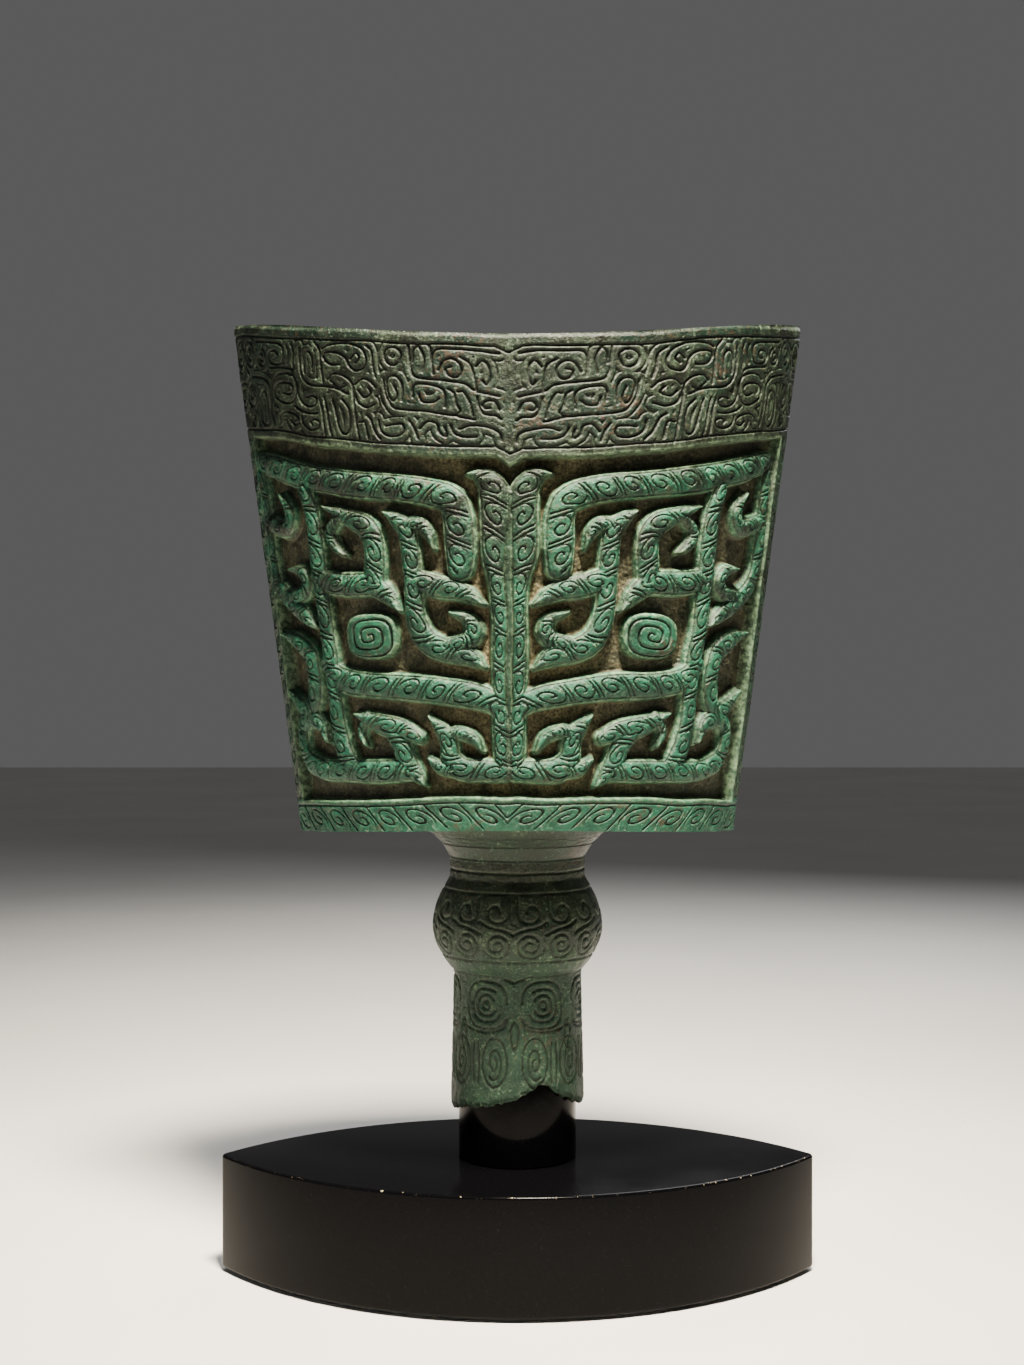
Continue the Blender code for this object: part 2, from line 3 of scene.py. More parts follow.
import bpy
import numpy as np
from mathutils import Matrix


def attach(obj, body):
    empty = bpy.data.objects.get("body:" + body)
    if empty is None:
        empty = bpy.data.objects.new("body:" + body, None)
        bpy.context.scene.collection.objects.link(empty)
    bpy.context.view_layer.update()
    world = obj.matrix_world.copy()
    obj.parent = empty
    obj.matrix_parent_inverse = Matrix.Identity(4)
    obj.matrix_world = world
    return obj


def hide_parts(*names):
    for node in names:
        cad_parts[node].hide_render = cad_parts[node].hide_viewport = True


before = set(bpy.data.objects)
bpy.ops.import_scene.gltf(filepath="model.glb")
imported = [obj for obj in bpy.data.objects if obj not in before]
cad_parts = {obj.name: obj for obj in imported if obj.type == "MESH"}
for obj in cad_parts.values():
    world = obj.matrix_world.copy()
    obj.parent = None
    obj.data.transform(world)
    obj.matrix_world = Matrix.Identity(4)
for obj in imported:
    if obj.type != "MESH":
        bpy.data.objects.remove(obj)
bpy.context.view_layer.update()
mm = 0.001
print("frame loaded:", sorted(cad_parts))


# Small tools for meshes, noise and shader nodes

def lumps(x, y, z, size, seed, waves=18):
    # smooth noise near -1..1: a sum of sine waves in random directions, each about one size long (mm)
    rng = np.random.default_rng(seed)
    total = np.zeros(np.broadcast(x, y, z).shape)
    for _ in range(waves):
        way = rng.normal(size=3)
        way *= 2 * math.pi / (size * rng.uniform(0.7, 1.6) * np.linalg.norm(way))
        total += np.sin(way[0] * x + way[1] * y + way[2] * z + rng.uniform(0, 6.3))
    return total / math.sqrt(2 * waves)


def castSkin(x, y, z, look, seed):
    # the roughness of the casting: coarse lumps and fine grain
    coarse = look["lump"] * lumps(x, y, z, look["lumpMm"], seed)
    return coarse + look["grain"] * lumps(x, y, z, look["grainMm"], seed + 1)


def ease(low, high, value):
    # smooth step from 0 at low to 1 at high
    t = np.clip((value - low) / (high - low), 0, 1)
    return t * t * (3 - 2 * t)


def stroke(inner, outer, away):
    # 1 up to the inner distance either side of a line, then down to 0 at the outer one
    return 1 - ease(inner, outer, np.abs(away))


def gridQuads(rows, cols, wrapCols=False, wrapRows=False):
    # quads of a rows x cols grid of points, closed round in either direction on request
    i = np.arange(rows if wrapRows else rows - 1)[:, None]
    j = np.arange(cols if wrapCols else cols - 1)[None, :]
    i2, j2 = (i + 1) % rows, (j + 1) % cols
    return np.stack([i * cols + j, i * cols + j2, i2 * cols + j2, i2 * cols + j], -1).reshape(-1, 4)


def directions(count):
    # even angles all the way round
    return np.linspace(0, 2 * math.pi, count, endpoint=False)


def addObject(name, data):
    thing = bpy.data.objects.new(name, data)
    bpy.context.scene.collection.objects.link(thing)
    return thing


def makePiece(name, home, points, quads, caps=(), sharp=None, tint=None):
    # home is the body, the replaced node, the slot (not used) and the material; points are in mm; caps are
    # many-sided end faces; all faces are turned round if they enclose a negative volume
    body, replaced, slotName, material = home
    caps = [np.asarray(cap) for cap in caps]
    faces = [quads[:, [0, 1, 2]], quads[:, [0, 2, 3]]]
    faces += [np.stack([np.full(len(cap) - 2, cap[0]), cap[1:-1], cap[2:]], 1) for cap in caps]
    corner = points[np.concatenate(faces)]
    if np.linalg.det(corner - points.mean(0)).sum() < 0:
        quads = quads[:, ::-1]
        caps = [cap[::-1] for cap in caps]
    loops = np.concatenate([quads.ravel()] + caps)
    sizes = np.array([4] * len(quads) + [len(cap) for cap in caps])
    starts = np.concatenate([[0], np.cumsum(sizes)[:-1]])
    mesh = bpy.data.meshes.new(name)
    mesh.vertices.add(len(points))
    mesh.vertices.foreach_set("co", (points * mm).astype(np.float32).ravel())
    mesh.loops.add(len(loops))
    mesh.loops.foreach_set("vertex_index", loops.astype(np.int32))
    mesh.polygons.add(len(sizes))
    mesh.polygons.foreach_set("loop_start", starts.astype(np.int32))
    mesh.update(calc_edges=True)
    mesh.shade_smooth()
    if sharp is not None:  # edges with both ends in the marked set stay crisp
        ends = np.empty(len(mesh.edges) * 2, np.int32)
        mesh.edges.foreach_get("vertices", ends)
        marked = sharp[ends.reshape(-1, 2)].all(1)
        mesh.attributes.new("sharp_edge", "BOOLEAN", "EDGE").data.foreach_set("value", marked)
    if tint is not None:  # what the material reads for each point: depth, groove with painted shade, zone, and crest with painted highlight
        layer = mesh.attributes.new("relief", "FLOAT_COLOR", "POINT")
        layer.data.foreach_set("color", tint.astype(np.float32).ravel())
    mesh.materials.append(material)
    piece = addObject(name, mesh)
    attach(piece, body)
    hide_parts(replaced)
    return piece


def linear(code):
    # sRGB hex to linear colour
    parts = [int(code[i:i + 2], 16) / 255 for i in (1, 3, 5)]
    return tuple(c / 12.92 if c <= 0.04045 else ((c + 0.055) / 1.055) ** 2.4 for c in parts) + (1.0,)


def plugIn(tree, node, inputs):
    # an input is either a value or another node's output
    for key, value in inputs.items():
        if isinstance(value, bpy.types.NodeSocket):
            tree.links.new(value, node.inputs[key])
        else:
            node.inputs[key].default_value = value


def addNode(tree, kind, inputs=None, **settings):
    node = tree.nodes.new(kind)
    for key, value in settings.items():
        setattr(node, key, value)
    plugIn(tree, node, inputs or {})
    return node


def startMaterial(name):
    material = bpy.data.materials.new(name)
    material.use_nodes = True
    tree = material.node_tree
    where = addNode(tree, "ShaderNodeTexCoord").outputs["Object"]
    return material, tree, tree.nodes["Principled BSDF"], where


def reliefValues(tree):
    # the depth, groove (also painted shade), zone and crest (painted highlight) that makePiece stored on
    # the points
    stored = addNode(tree, "ShaderNodeAttribute", attribute_name="relief").outputs
    parts = addNode(tree, "ShaderNodeSeparateColor", {"Color": stored["Color"]}).outputs
    return parts[0], parts[1], parts[2], stored["Alpha"]


def combine(tree, operation, first, second):
    return addNode(tree, "ShaderNodeMath", {0: first, 1: second}, operation=operation).outputs[0]


def product(tree, first, second):
    return combine(tree, "MULTIPLY", first, second)


def blendColours(tree, factor, first, second):
    # each colour is a hex code or another node's output
    first, second = [linear(c) if isinstance(c, str) else c for c in (first, second)]
    node = addNode(tree, "ShaderNodeMix", {0: factor, 6: first, 7: second}, data_type="RGBA")
    return node.outputs[2]


def spread(tree, value, low, high, toLow=0.0, toHigh=1.0):
    # a smooth step from toLow to toHigh as the value goes from low to high
    inputs = {"Value": value, "From Min": low, "From Max": high, "To Min": toLow, "To Max": toHigh}
    return addNode(tree, "ShaderNodeMapRange", inputs, interpolation_type="SMOOTHSTEP").outputs["Result"]


def grain(tree, where, sizeMm, detail=4.0, rough=0.55):
    inputs = {"Vector": where, "Scale": 1000 / sizeMm, "Detail": detail, "Roughness": rough}
    return addNode(tree, "ShaderNodeTexNoise", inputs).outputs["Fac"]


def bumps(tree, height, strength, deepMm, under=None):
    # the bent normal of a bump, laid over another one on request
    inputs = {"Height": height, "Strength": strength, "Distance": deepMm * mm}
    if under is not None:
        inputs["Normal"] = under
    return addNode(tree, "ShaderNodeBump", inputs).outputs[0]


# Materials

bronzeLook = {
    "malachite": "#1f4d39", "deepGreen": "#0c241b", "seaGreen": "#0c4a37", "teal": "#196348",
    "verdigris": "#83a27d", "lichen": "#3f5d45", "grit": "#7a907a", "oliveBrown": "#232d1f",
    "umber": "#10120a", "earth": "#7c7557", "clay": "#1f1e15", "cuprite": "#351f15", "shadow": "#0a0e09",
    "patch": (42, 6, 0.6), "blotch": (11, 6, 0.65), "speck": (3.0, 4, 0.6), "crumb": (1.5, 3, 0.7),
    "gritGrain": (1.9, 2, 0.5), "pit": (1.2, 3, 0.6), "crust": (3.6, 6, 0.65),  # mm, detail, roughness
    "lineDark": 0.78, "roughness": (0.36, 0.62), "specular": 0.3,
}


def castBronzeMalachite():
    # cast bronze after long burial: malachite green on the high relief, olive brown on the bands,
    # pale earth left in the ground, grooves darkened with painted shade, rust-red specks, a dull waxed
    # gloss and fine pits
    look = bronzeLook
    material, tree, shader, where = startMaterial("castBronzeMalachite")
    deep, groove, ribbon, crest = reliefValues(tree)
    level = addNode(tree, "ShaderNodeSeparateXYZ", {"Vector": where}).outputs["Z"]  # metres
    patch, blotch, speck, crumbs, fine, pits, crust = [grain(tree, where, *look[name]) for name in (
        "patch", "blotch", "speck", "crumb", "gritGrain", "pit", "crust")]

    def layered(colour, layers):
        # each layer fades in over a range of its mask, from the least cover to the most
        for mask, low, high, least, most, tone in layers:
            colour = blendColours(tree, spread(tree, mask, low, high, least, most), colour, look[tone])
        return colour

    # the last two layers are painted shade: the green turns deeper and darker towards the bottom of the
    # wall and on the shank
    green = layered(look["deepGreen"], (
        (patch, 0.38, 0.62, 0, 1, "malachite"), (blotch, 0.5, 0.64, 0, 0.7, "teal"),
        (blotch, 0.49, 0.36, 0, 0.85, "umber"), (speck, 0.52, 0.68, 0, 0.45, "lichen"),
        (level, 0.44, 0.3, 0, 0.5, "seaGreen"), (level, 0.25, 0.2, 0, 0.6, "deepGreen")))
    brown = layered(look["umber"], (
        (blotch, 0.4, 0.62, 0, 1, "oliveBrown"), (patch, 0.46, 0.62, 0.1, 0.75, "deepGreen"),
        (speck, 0.54, 0.74, 0, 0.3, "lichen")))
    colour = blendColours(tree, ribbon, brown, green)
    bloom = spread(tree, product(tree, blotch, speck), 0.33, 0.45, 0, 0.38)
    bloom = product(tree, bloom, spread(tree, ribbon, 0, 1, 0.35, 1))  # less on the bands
    grit = spread(tree, fine, 0.57, 0.72, 0, 0.5)
    grit = product(tree, grit, spread(tree, blotch, 0.38, 0.6, 0.15, 0.9))
    rust = spread(tree, product(tree, patch, speck), 0.3, 0.4, 0, 0.7)
    dirt = blendColours(tree, spread(tree, crumbs, 0.24, 0.74), look["clay"], look["earth"])
    soil = product(tree, spread(tree, blotch, 0.36, 0.6, 0.35, 1.0), deep)
    # painted highlight: pale verdigris along ribbon and band edges and beside the cut lines
    edgeHighlight = product(tree, crest, spread(tree, speck, 0.4, 0.62, 0.08, 0.5))
    # painted shade: the groove channel darkens the grooves, the inner wall, the flare and the neck towards
    # the shadow colour
    lines = product(tree, groove, look["lineDark"])
    for cover, tone in ((bloom, look["verdigris"]), (grit, look["grit"]), (rust, look["cuprite"]),
                        (soil, dirt), (edgeHighlight, look["verdigris"]), (lines, look["shadow"])):
        colour = blendColours(tree, cover, colour, tone)
    dull = spread(tree, blotch, 0.3, 0.7, *look["roughness"])
    pitted = bumps(tree, combine(tree, "ADD", pits, crumbs), 0.75, 0.6)
    plugIn(tree, shader, {"Base Color": colour, "Roughness": combine(tree, "MAXIMUM", deep, dull),
                          "Normal": bumps(tree, crust, 0.5, 0.9, pitted),
                          "Specular IOR Level": look["specular"]})
    return material


lacquerLook = {
    "black": "#040405", "dust": "#2c2d30", "chip": "#9c937a", "hazeMm": 60, "dustMm": 1.6, "chipMm": 2.4,
    "rippleMm": 18, "roughness": (0.09, 0.18), "specular": 0.05,
}


def blackLacquer():
    # sprayed and polished black lacquer on wood: deep black with a clear gloss, faint haze and dust, and a
    # few pale rubbed chips along the upper edge
    look = lacquerLook
    material, tree, shader, where = startMaterial("blackLacquer")
    edge = reliefValues(tree)[0]
    dust = spread(tree, grain(tree, where, look["dustMm"], 2), 0.62, 0.8, 0, 0.12)
    chip = spread(tree, grain(tree, where, look["chipMm"], 4, 0.7), 0.63, 0.71)
    chip = product(tree, chip, edge)
    colour = blendColours(tree, dust, look["black"], look["dust"])
    colour = blendColours(tree, chip, colour, look["chip"])
    haze = spread(tree, grain(tree, where, look["hazeMm"], 4), 0.3, 0.7, *look["roughness"])
    ripple = grain(tree, where, look["rippleMm"], 2)
    plugIn(tree, shader, {"Base Color": colour, "Roughness": combine(tree, "MAXIMUM", haze, chip),
                          "Normal": bumps(tree, ripple, 0.03, 0.6), "Specular IOR Level": look["specular"]})
    return material


def pressedFelt(name, dark, light, fibreMm, cloudMm=14):
    # pressed wool felt: matt, with a fine nap of crossed fibres and paler clouds
    material, tree, shader, where = startMaterial(name)
    fibre = grain(tree, where, fibreMm, 6, 0.75)
    cloud = grain(tree, where, cloudMm, 3)
    colour = blendColours(tree, spread(tree, fibre, 0.35, 0.68), dark, light)
    colour = blendColours(tree, spread(tree, cloud, 0.4, 0.7, 0, 0.3), colour, light)
    plugIn(tree, shader, {"Base Color": colour, "Normal": bumps(tree, fibre, 0.8, 0.6),
                          "Roughness": 0.95, "Sheen Weight": 0.4, "Sheen Roughness": 0.6})
    return material


def turnedMetal(name, dark, light, lineMm, roughness, stainMm=5):
    # lathe-turned metal: fine rings round the axis, brighter on their crests, and dull stains
    material, tree, shader, where = startMaterial(name)
    ringScale = 1000 / (20 * lineMm)  # a wave node turns 20 radians per unit
    inputs = {"Vector": where, "Scale": ringScale, "Distortion": 0.4}
    rings = addNode(tree, "ShaderNodeTexWave", inputs, bands_direction="Z").outputs["Fac"]
    stain = spread(tree, grain(tree, where, stainMm, 4), 0.5, 0.8, 0, 0.5)
    colour = blendColours(tree, stain, blendColours(tree, rings, dark, light), dark)
    plugIn(tree, shader, {"Base Color": colour, "Metallic": 1.0, "Roughness": roughness,
                          "Normal": bumps(tree, rings, 0.2, 0.1)})
    return material


def beechWood(pale="#d2a779", fleck="#a87849", fleckMm=0.9):
    # beech dowel: pale pinkish wood with darker flecks drawn out along its length
    material, tree, shader, where = startMaterial("beechWood")
    along = addNode(tree, "ShaderNodeMapping", {"Vector": where, "Scale": (1, 1, 0.08)}).outputs["Vector"]
    cover = spread(tree, grain(tree, along, fleckMm, 4), 0.4, 0.7)
    plugIn(tree, shader, {"Base Color": blendColours(tree, cover, pale, fleck), "Roughness": 0.6})
    return material


bronze = castBronzeMalachite()
lacquer = blackLacquer()
felt = pressedFelt("pressedGreyFelt", "#4a4a4d", "#77777a", 0.9)
baize = pressedFelt("blackBaize", "#101011", "#242426", 0.7)
steel = turnedMetal("zincPlatedSteel", "#8f9398", "#c9ccd0", 0.35, 0.32)
brass = turnedMetal("turnedBrass", "#9c7634", "#d9b566", 0.3, 0.28)
beech = beechWood()
for nodeName, material in (("post_bolt", steel), ("bolt_washer", steel), ("threaded_insert", brass),
                           ("dowel_left", beech), ("dowel_right", beech)):
    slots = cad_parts[nodeName].data.materials
    slots.clear()
    slots.append(material)
print("materials made")


# The wall of the bell, in mm: an arc that widens from shoulder to rim

bell = {
    "shoulderWidth": 123.6, "shoulderDepth": 84, "rimWidth": 162.4, "rimDepth": 107.5, "wall": 15,
    "shoulderZ": 256.9, "shoulderBow": -6.4, "rimZ": 512.5, "rimBow": 24.5, "floorZ": 267,
    "rimBand": 62.7, "bandPoint": 4.5, "pointReach": 7, "shoulderBand": 17.4, "sideBorder": 12,
    "fieldSink": 7.5, "splitZ": 365.0, "splitBow": 14, "halfArc": 195, "frontCell": 0.46, "backCell": 0.7,
    # values for the inner wall: its groove channel, 0.42, darkens it with painted shade
    "insideTintAndShade": (0.1, 0.42, 0.3, 0),
}
onChamber = ("bell", "bell_chamber", "bronze", bronze)


def wallArc(rise):
    # half width and depth grow evenly with the rise; the arc is the circle through both side edges and the
    # middle of the face: its radius, and how far its centre lies behind the line between the edges
    width = bell["shoulderWidth"] + (bell["rimWidth"] - bell["shoulderWidth"]) * rise
    depth = bell["shoulderDepth"] + (bell["rimDepth"] - bell["shoulderDepth"]) * rise
    radius = (width**2 + depth**2) / (2 * depth)
    return radius, radius - depth


def shoulderLine(across):
    # the lower edge of the wall bows with the square of the distance from the middle
    return bell["shoulderZ"] + bell["shoulderBow"] * across**2


def rimLine(across):
    return bell["rimZ"] + bell["rimBow"] * across**2


def bandPoint(along):
    # the rim band's lower edge comes to a small point on the middle ridge
    return bell["bandPoint"] * np.clip(1 - along / bell["pointReach"], 0, 1)


def wallPlace(share, height, inset=0.0):
    # share 0..1 goes from the middle line to the side edge; gives the arc, the angle and the share of the
    # width, found in three rounds because the bowed edges depend on it
    across = share
    for _ in range(3):
        low, high = shoulderLine(across), rimLine(across)
        radius, centre = wallArc((height - low) / (high - low))
        tip = np.arccos(centre / (radius - inset))
        across = np.sin(share * tip) / np.sin(tip)
    return radius, centre, share * tip, across


def wallPoints(share, height, sunk, inset=0.0):
    # points on the arc, drawn in towards its centre by the inset and by how far each is sunk
    radius, centre, angle, _ = wallPlace(share, height, inset)
    reach = radius - inset - sunk
    return np.stack([reach * np.sin(angle), centre - reach * np.cos(angle), height + 0 * angle], -1)


# The mask: ribbons through points (along the wall from the middle, height, half width), in mm

ribbons = {
    "brow": [(171, 458, 5), (158, 455, 5.4), (138, 450, 5.7), (106, 443, 6), (72, 438, 6), (54, 436, 6),
        (40, 434, 6), (28, 430, 6), (24, 422, 6), (23, 405, 6.3), (23, 394, 5.5)],
    "pillar": [(123, 439, 4.2), (118, 426, 5), (115, 411, 5.6), (113, 395, 5.7), (111, 379, 5.5),
        (109, 363, 5.2), (106, 347, 5.4), (103, 329, 5), (101, 313, 5.2), (97, 299, 5.8), (91, 289, 5.5)],
    "innerStem": [(66, 424, 0.6), (59, 420, 2.8), (52, 414, 4.8), (50, 404, 4.9), (49, 390, 4.9),
        (48, 377, 4.9), (46, 366, 5.3), (41, 357, 5.6), (32, 352, 5.4), (21, 349, 4.5), (12, 342, 0.6)],
    "innerCurl": [(53, 417, 3), (44, 417, 2.8), (39, 412, 2.4), (36, 404, 0.8)],
    "innerBranch": [(48, 388, 5), (34, 384, 5), (23, 382, 4.2), (12, 375, 0.6)],
    "innerHook": [(30, 353, 4), (20, 356, 3.7), (17, 362, 3.2), (20, 368, 2.2), (28, 371, 0.6)],
    "outerStem": [(108, 429, 0.6), (91, 423, 3.6), (79, 418, 5.2), (73, 411, 6), (72, 401, 6.2),
        (73, 387, 6)],
    "outerBar": [(72, 387, 5.6), (90, 387, 5.6), (112, 390, 5.6)],
    "outerSpur": [(74, 387, 5.2), (65, 381, 4), (56, 372, 0.6)],
    "outerCurl": [(97, 422, 2.4), (103, 415, 2.8), (100, 408, 2.5), (92, 403, 0.7)],
    "jaw": [(109, 344, 4.5), (97, 336, 5.6), (77, 333, 5.8), (53, 332, 6), (31, 330, 6), (15, 327, 5.6),
        (6, 321, 4), (3.6, 312, 3.4), (3.4, 300, 3.4), (3.4, 288, 3.4)],
    "fang": [(3, 288, 4.4), (12, 288, 4.8), (22, 289, 5.2), (28, 295, 4.9), (29, 302, 4.4),
        (32, 308, 3.7), (40, 317, 0.6)],
    "fangCurl": [(31, 305, 3), (24, 308, 2.7), (17, 305, 2.2), (13, 298, 0.7)],
    "fangLobe": [(27, 289, 3.4), (34, 290, 2.8), (40, 294, 1.2)],
    "beak": [(88, 318, 0.6), (71, 312, 4.7), (57, 309, 5), (46, 305, 2.6)],
    "beakNeck": [(64, 310, 5), (57, 301, 5.1), (54, 294, 5), (49, 287, 3.9), (42, 280, 0.6)],
    "beakBar": [(52, 288, 4.8), (73, 287, 5.2), (92, 287, 5.2), (115, 287, 5), (130, 289, 5)],
    "beakCurl": [(79, 316, 2.4), (83, 308, 2.2), (79, 300, 0.7)],
    "sideStem": [(171, 451, 3.6), (169, 437, 4.6), (167, 414, 5.2), (161, 392, 5.2), (147, 381, 5),
        (129, 372, 3.9), (116, 365, 0.7)],
    "sideProng": [(147, 439, 0.7), (139, 428, 3.6), (141, 421, 3.6), (149, 420, 4), (166, 424, 4.2)],
    "sideHook": [(142, 397, 0.8), (130, 395, 3), (125, 389, 3.5), (130, 383, 3.5), (147, 381, 4)],
    "sideCrescent": [(157, 362, 0.8), (138, 357, 4.5), (126, 351, 5.4), (122, 341, 5.6), (121, 330, 5.6),
        (124, 321, 5), (134, 319, 4.6), (152, 330, 0.8)],
    "sideFoot": [(110, 302, 0.7), (116, 311, 3.7), (127, 315, 4.6), (137, 311, 4.8), (138, 301, 4.8),
        (133, 292, 5), (118, 287, 5)],
    "keel": [(19.2, 441.5, 0.6), (15, 441, 2.4), (10.5, 438, 4.8), (7.2, 432, 6.6), (7, 421, 6.3),
        (7.4, 408, 5.8), (7, 399, 5.2), (6, 391, 4), (5.5, 384, 3.4), (5.3, 370, 3.2), (5.2, 350, 3.1),
        (5, 330, 3), (4.8, 305, 2.8), (4.6, 288, 2.6)],
    "ridge": [(0, 432, 1.7), (0, 400, 1.7), (0, 345, 1.7), (0, 286, 1.7)],
}
eye = {"along": 75, "height": 359, "halfWidth": 17.5, "halfHeight": 12, "power": 3.0, "turns": 3.1,
       "crown": 0.22}
relief = {
    "reach": 14, "fuller": 0.7, "flank": 2.5, "flankIn": 0.4, "crown": 0.3, "crownPower": 2.2,
    "ridgeLevel": 0.84, "step": 1.6, "grooveDeep": 1.0, "spiralCell": 17, "shear": 0.6, "pair": 1.15,
    "coilLong": 0.41, "coilWide": 0.86, "coilTurns": 1.6, "lineHalf": 0.4, "lineFade": 0.7, "echo": 3.9,
    "keelDrift": 4.6, "leftDrift": 8.6, "driftStart": 8, "driftRun": 16, "ridgeFade": (60, 90),
    "keelHalf": (13, 17), "keelTop": (444, 448), "keelBrown": (372, 415),
}
cast = {  # how uneven the casting is, and the size of each unevenness
    "wander": 0.7, "wanderMm": 45, "swayMm": 38, "calmMm": 7, "lump": 0.3, "lumpMm": 7, "grain": 0.2,
    "grainMm": 2.2, "wear": 0.1, "wearSwing": 0.2, "wearMm": 16, "rim": 1.0, "rimMm": 2.5, "edge": 0.8,
    "edgeMm": 2.2, "earthMiddle": 16, "earthRun": 40,
}


def smoothPath(points, step=0.5):
    # a Catmull-Rom curve through the points, sampled evenly along its length; further columns go along, and
    # the length so far is the last column
    points = np.asarray(points, float)
    ends = np.vstack([2 * points[0] - points[1], points, 2 * points[-1] - points[-2]])
    t = np.linspace(0, 1, 24, endpoint=False)[:, None]
    runs = []
    for a, b, c, d in zip(ends, ends[1:], ends[2:], ends[3:]):
        square, cube = 2 * a - 5 * b + 4 * c - d, 3 * b - a - 3 * c + d
        runs.append(0.5 * (2 * b + (c - a) * t + square * t**2 + cube * t**3))
    dense = np.vstack(runs + [points[-1:]])
    length = np.concatenate([[0], np.cumsum(np.linalg.norm(np.diff(dense[:, :2], axis=0), axis=1))])
    even = np.linspace(0, length[-1], max(4, int(length[-1] / step)))
    return np.column_stack([np.interp(even, length, dense[:, k]) for k in range(points.shape[1])] + [even])


def nearest(path, along, height, margin):
    # for the grid points near a path: their index, distance, signed side and the nearest sample of the path
    low, high = path[:, :2].min(0) - margin, path[:, :2].max(0) + margin
    near = np.nonzero((along > low[0]) & (along < high[0]) & (height > low[1]) & (height < high[1]))[0]
    if len(near) == 0:
        return near, near, near, near
    away = (along[near, None] - path[None, :, 0]) ** 2 + (height[near, None] - path[None, :, 1]) ** 2
    best = away.argmin(1)
    run = np.gradient(path[:, :2], axis=0)[best]
    off = np.column_stack([along[near], height[near]]) - path[best, :2]
    side = np.sign(run[:, 0] * off[:, 1] - run[:, 1] * off[:, 0])
    return near, np.sqrt(away.min(1)), side, best


def spiralCells(t, d, half, cell, pair=relief["pair"], shear=relief["shear"]):
    # groove strength of a row of leaning spirals, one to a cell along t, with a pair of slanted lines
    # between cells, the pair distance each way; d is the offset sideways, and some spirals are turned over
    lean = t + shear * d
    number = np.floor(lean / cell)
    turnedOver = np.where(np.sin(12.9 * number + 4.1) > 0, 1, -1)  # a fixed uneven order
    a = (lean - (number + 0.5) * cell) / (relief["coilLong"] * cell)
    b = d / np.maximum(relief["coilWide"] * half, 0.5) * turnedOver
    r = np.hypot(a, b)
    wind = np.abs((relief["coilTurns"] * r - np.arctan2(b, a) / (2 * math.pi)) % 1 - 0.5) * 2
    coil = ease(0.68, 0.88, wind) * (1 - ease(0.9, 1.02, r)) * ease(0.1, 0.2, r)
    border = np.abs((lean / cell + 0.5) % 1 - 0.5) * cell
    return np.maximum(coil, stroke(0.25, 0.75, border - pair))


def lineGroove(paths, along, height, reach=7, far=99.0):
    # groove strength of a set of drawn lines, with a fainter echo beside them that fills the open ground
    least = np.full(along.shape, far)
    for path in paths:
        near, away, _, _ = nearest(path, along, height, reach)
        least[near] = np.minimum(least[near], away)
    line = stroke(relief["lineHalf"], relief["lineHalf"] + relief["lineFade"], least)
    return np.maximum(line, 0.75 * stroke(0.3, 0.85, least - relief["echo"]))


# The rim band: lines through points (along from the middle, depth below the rim), in mm, for one half

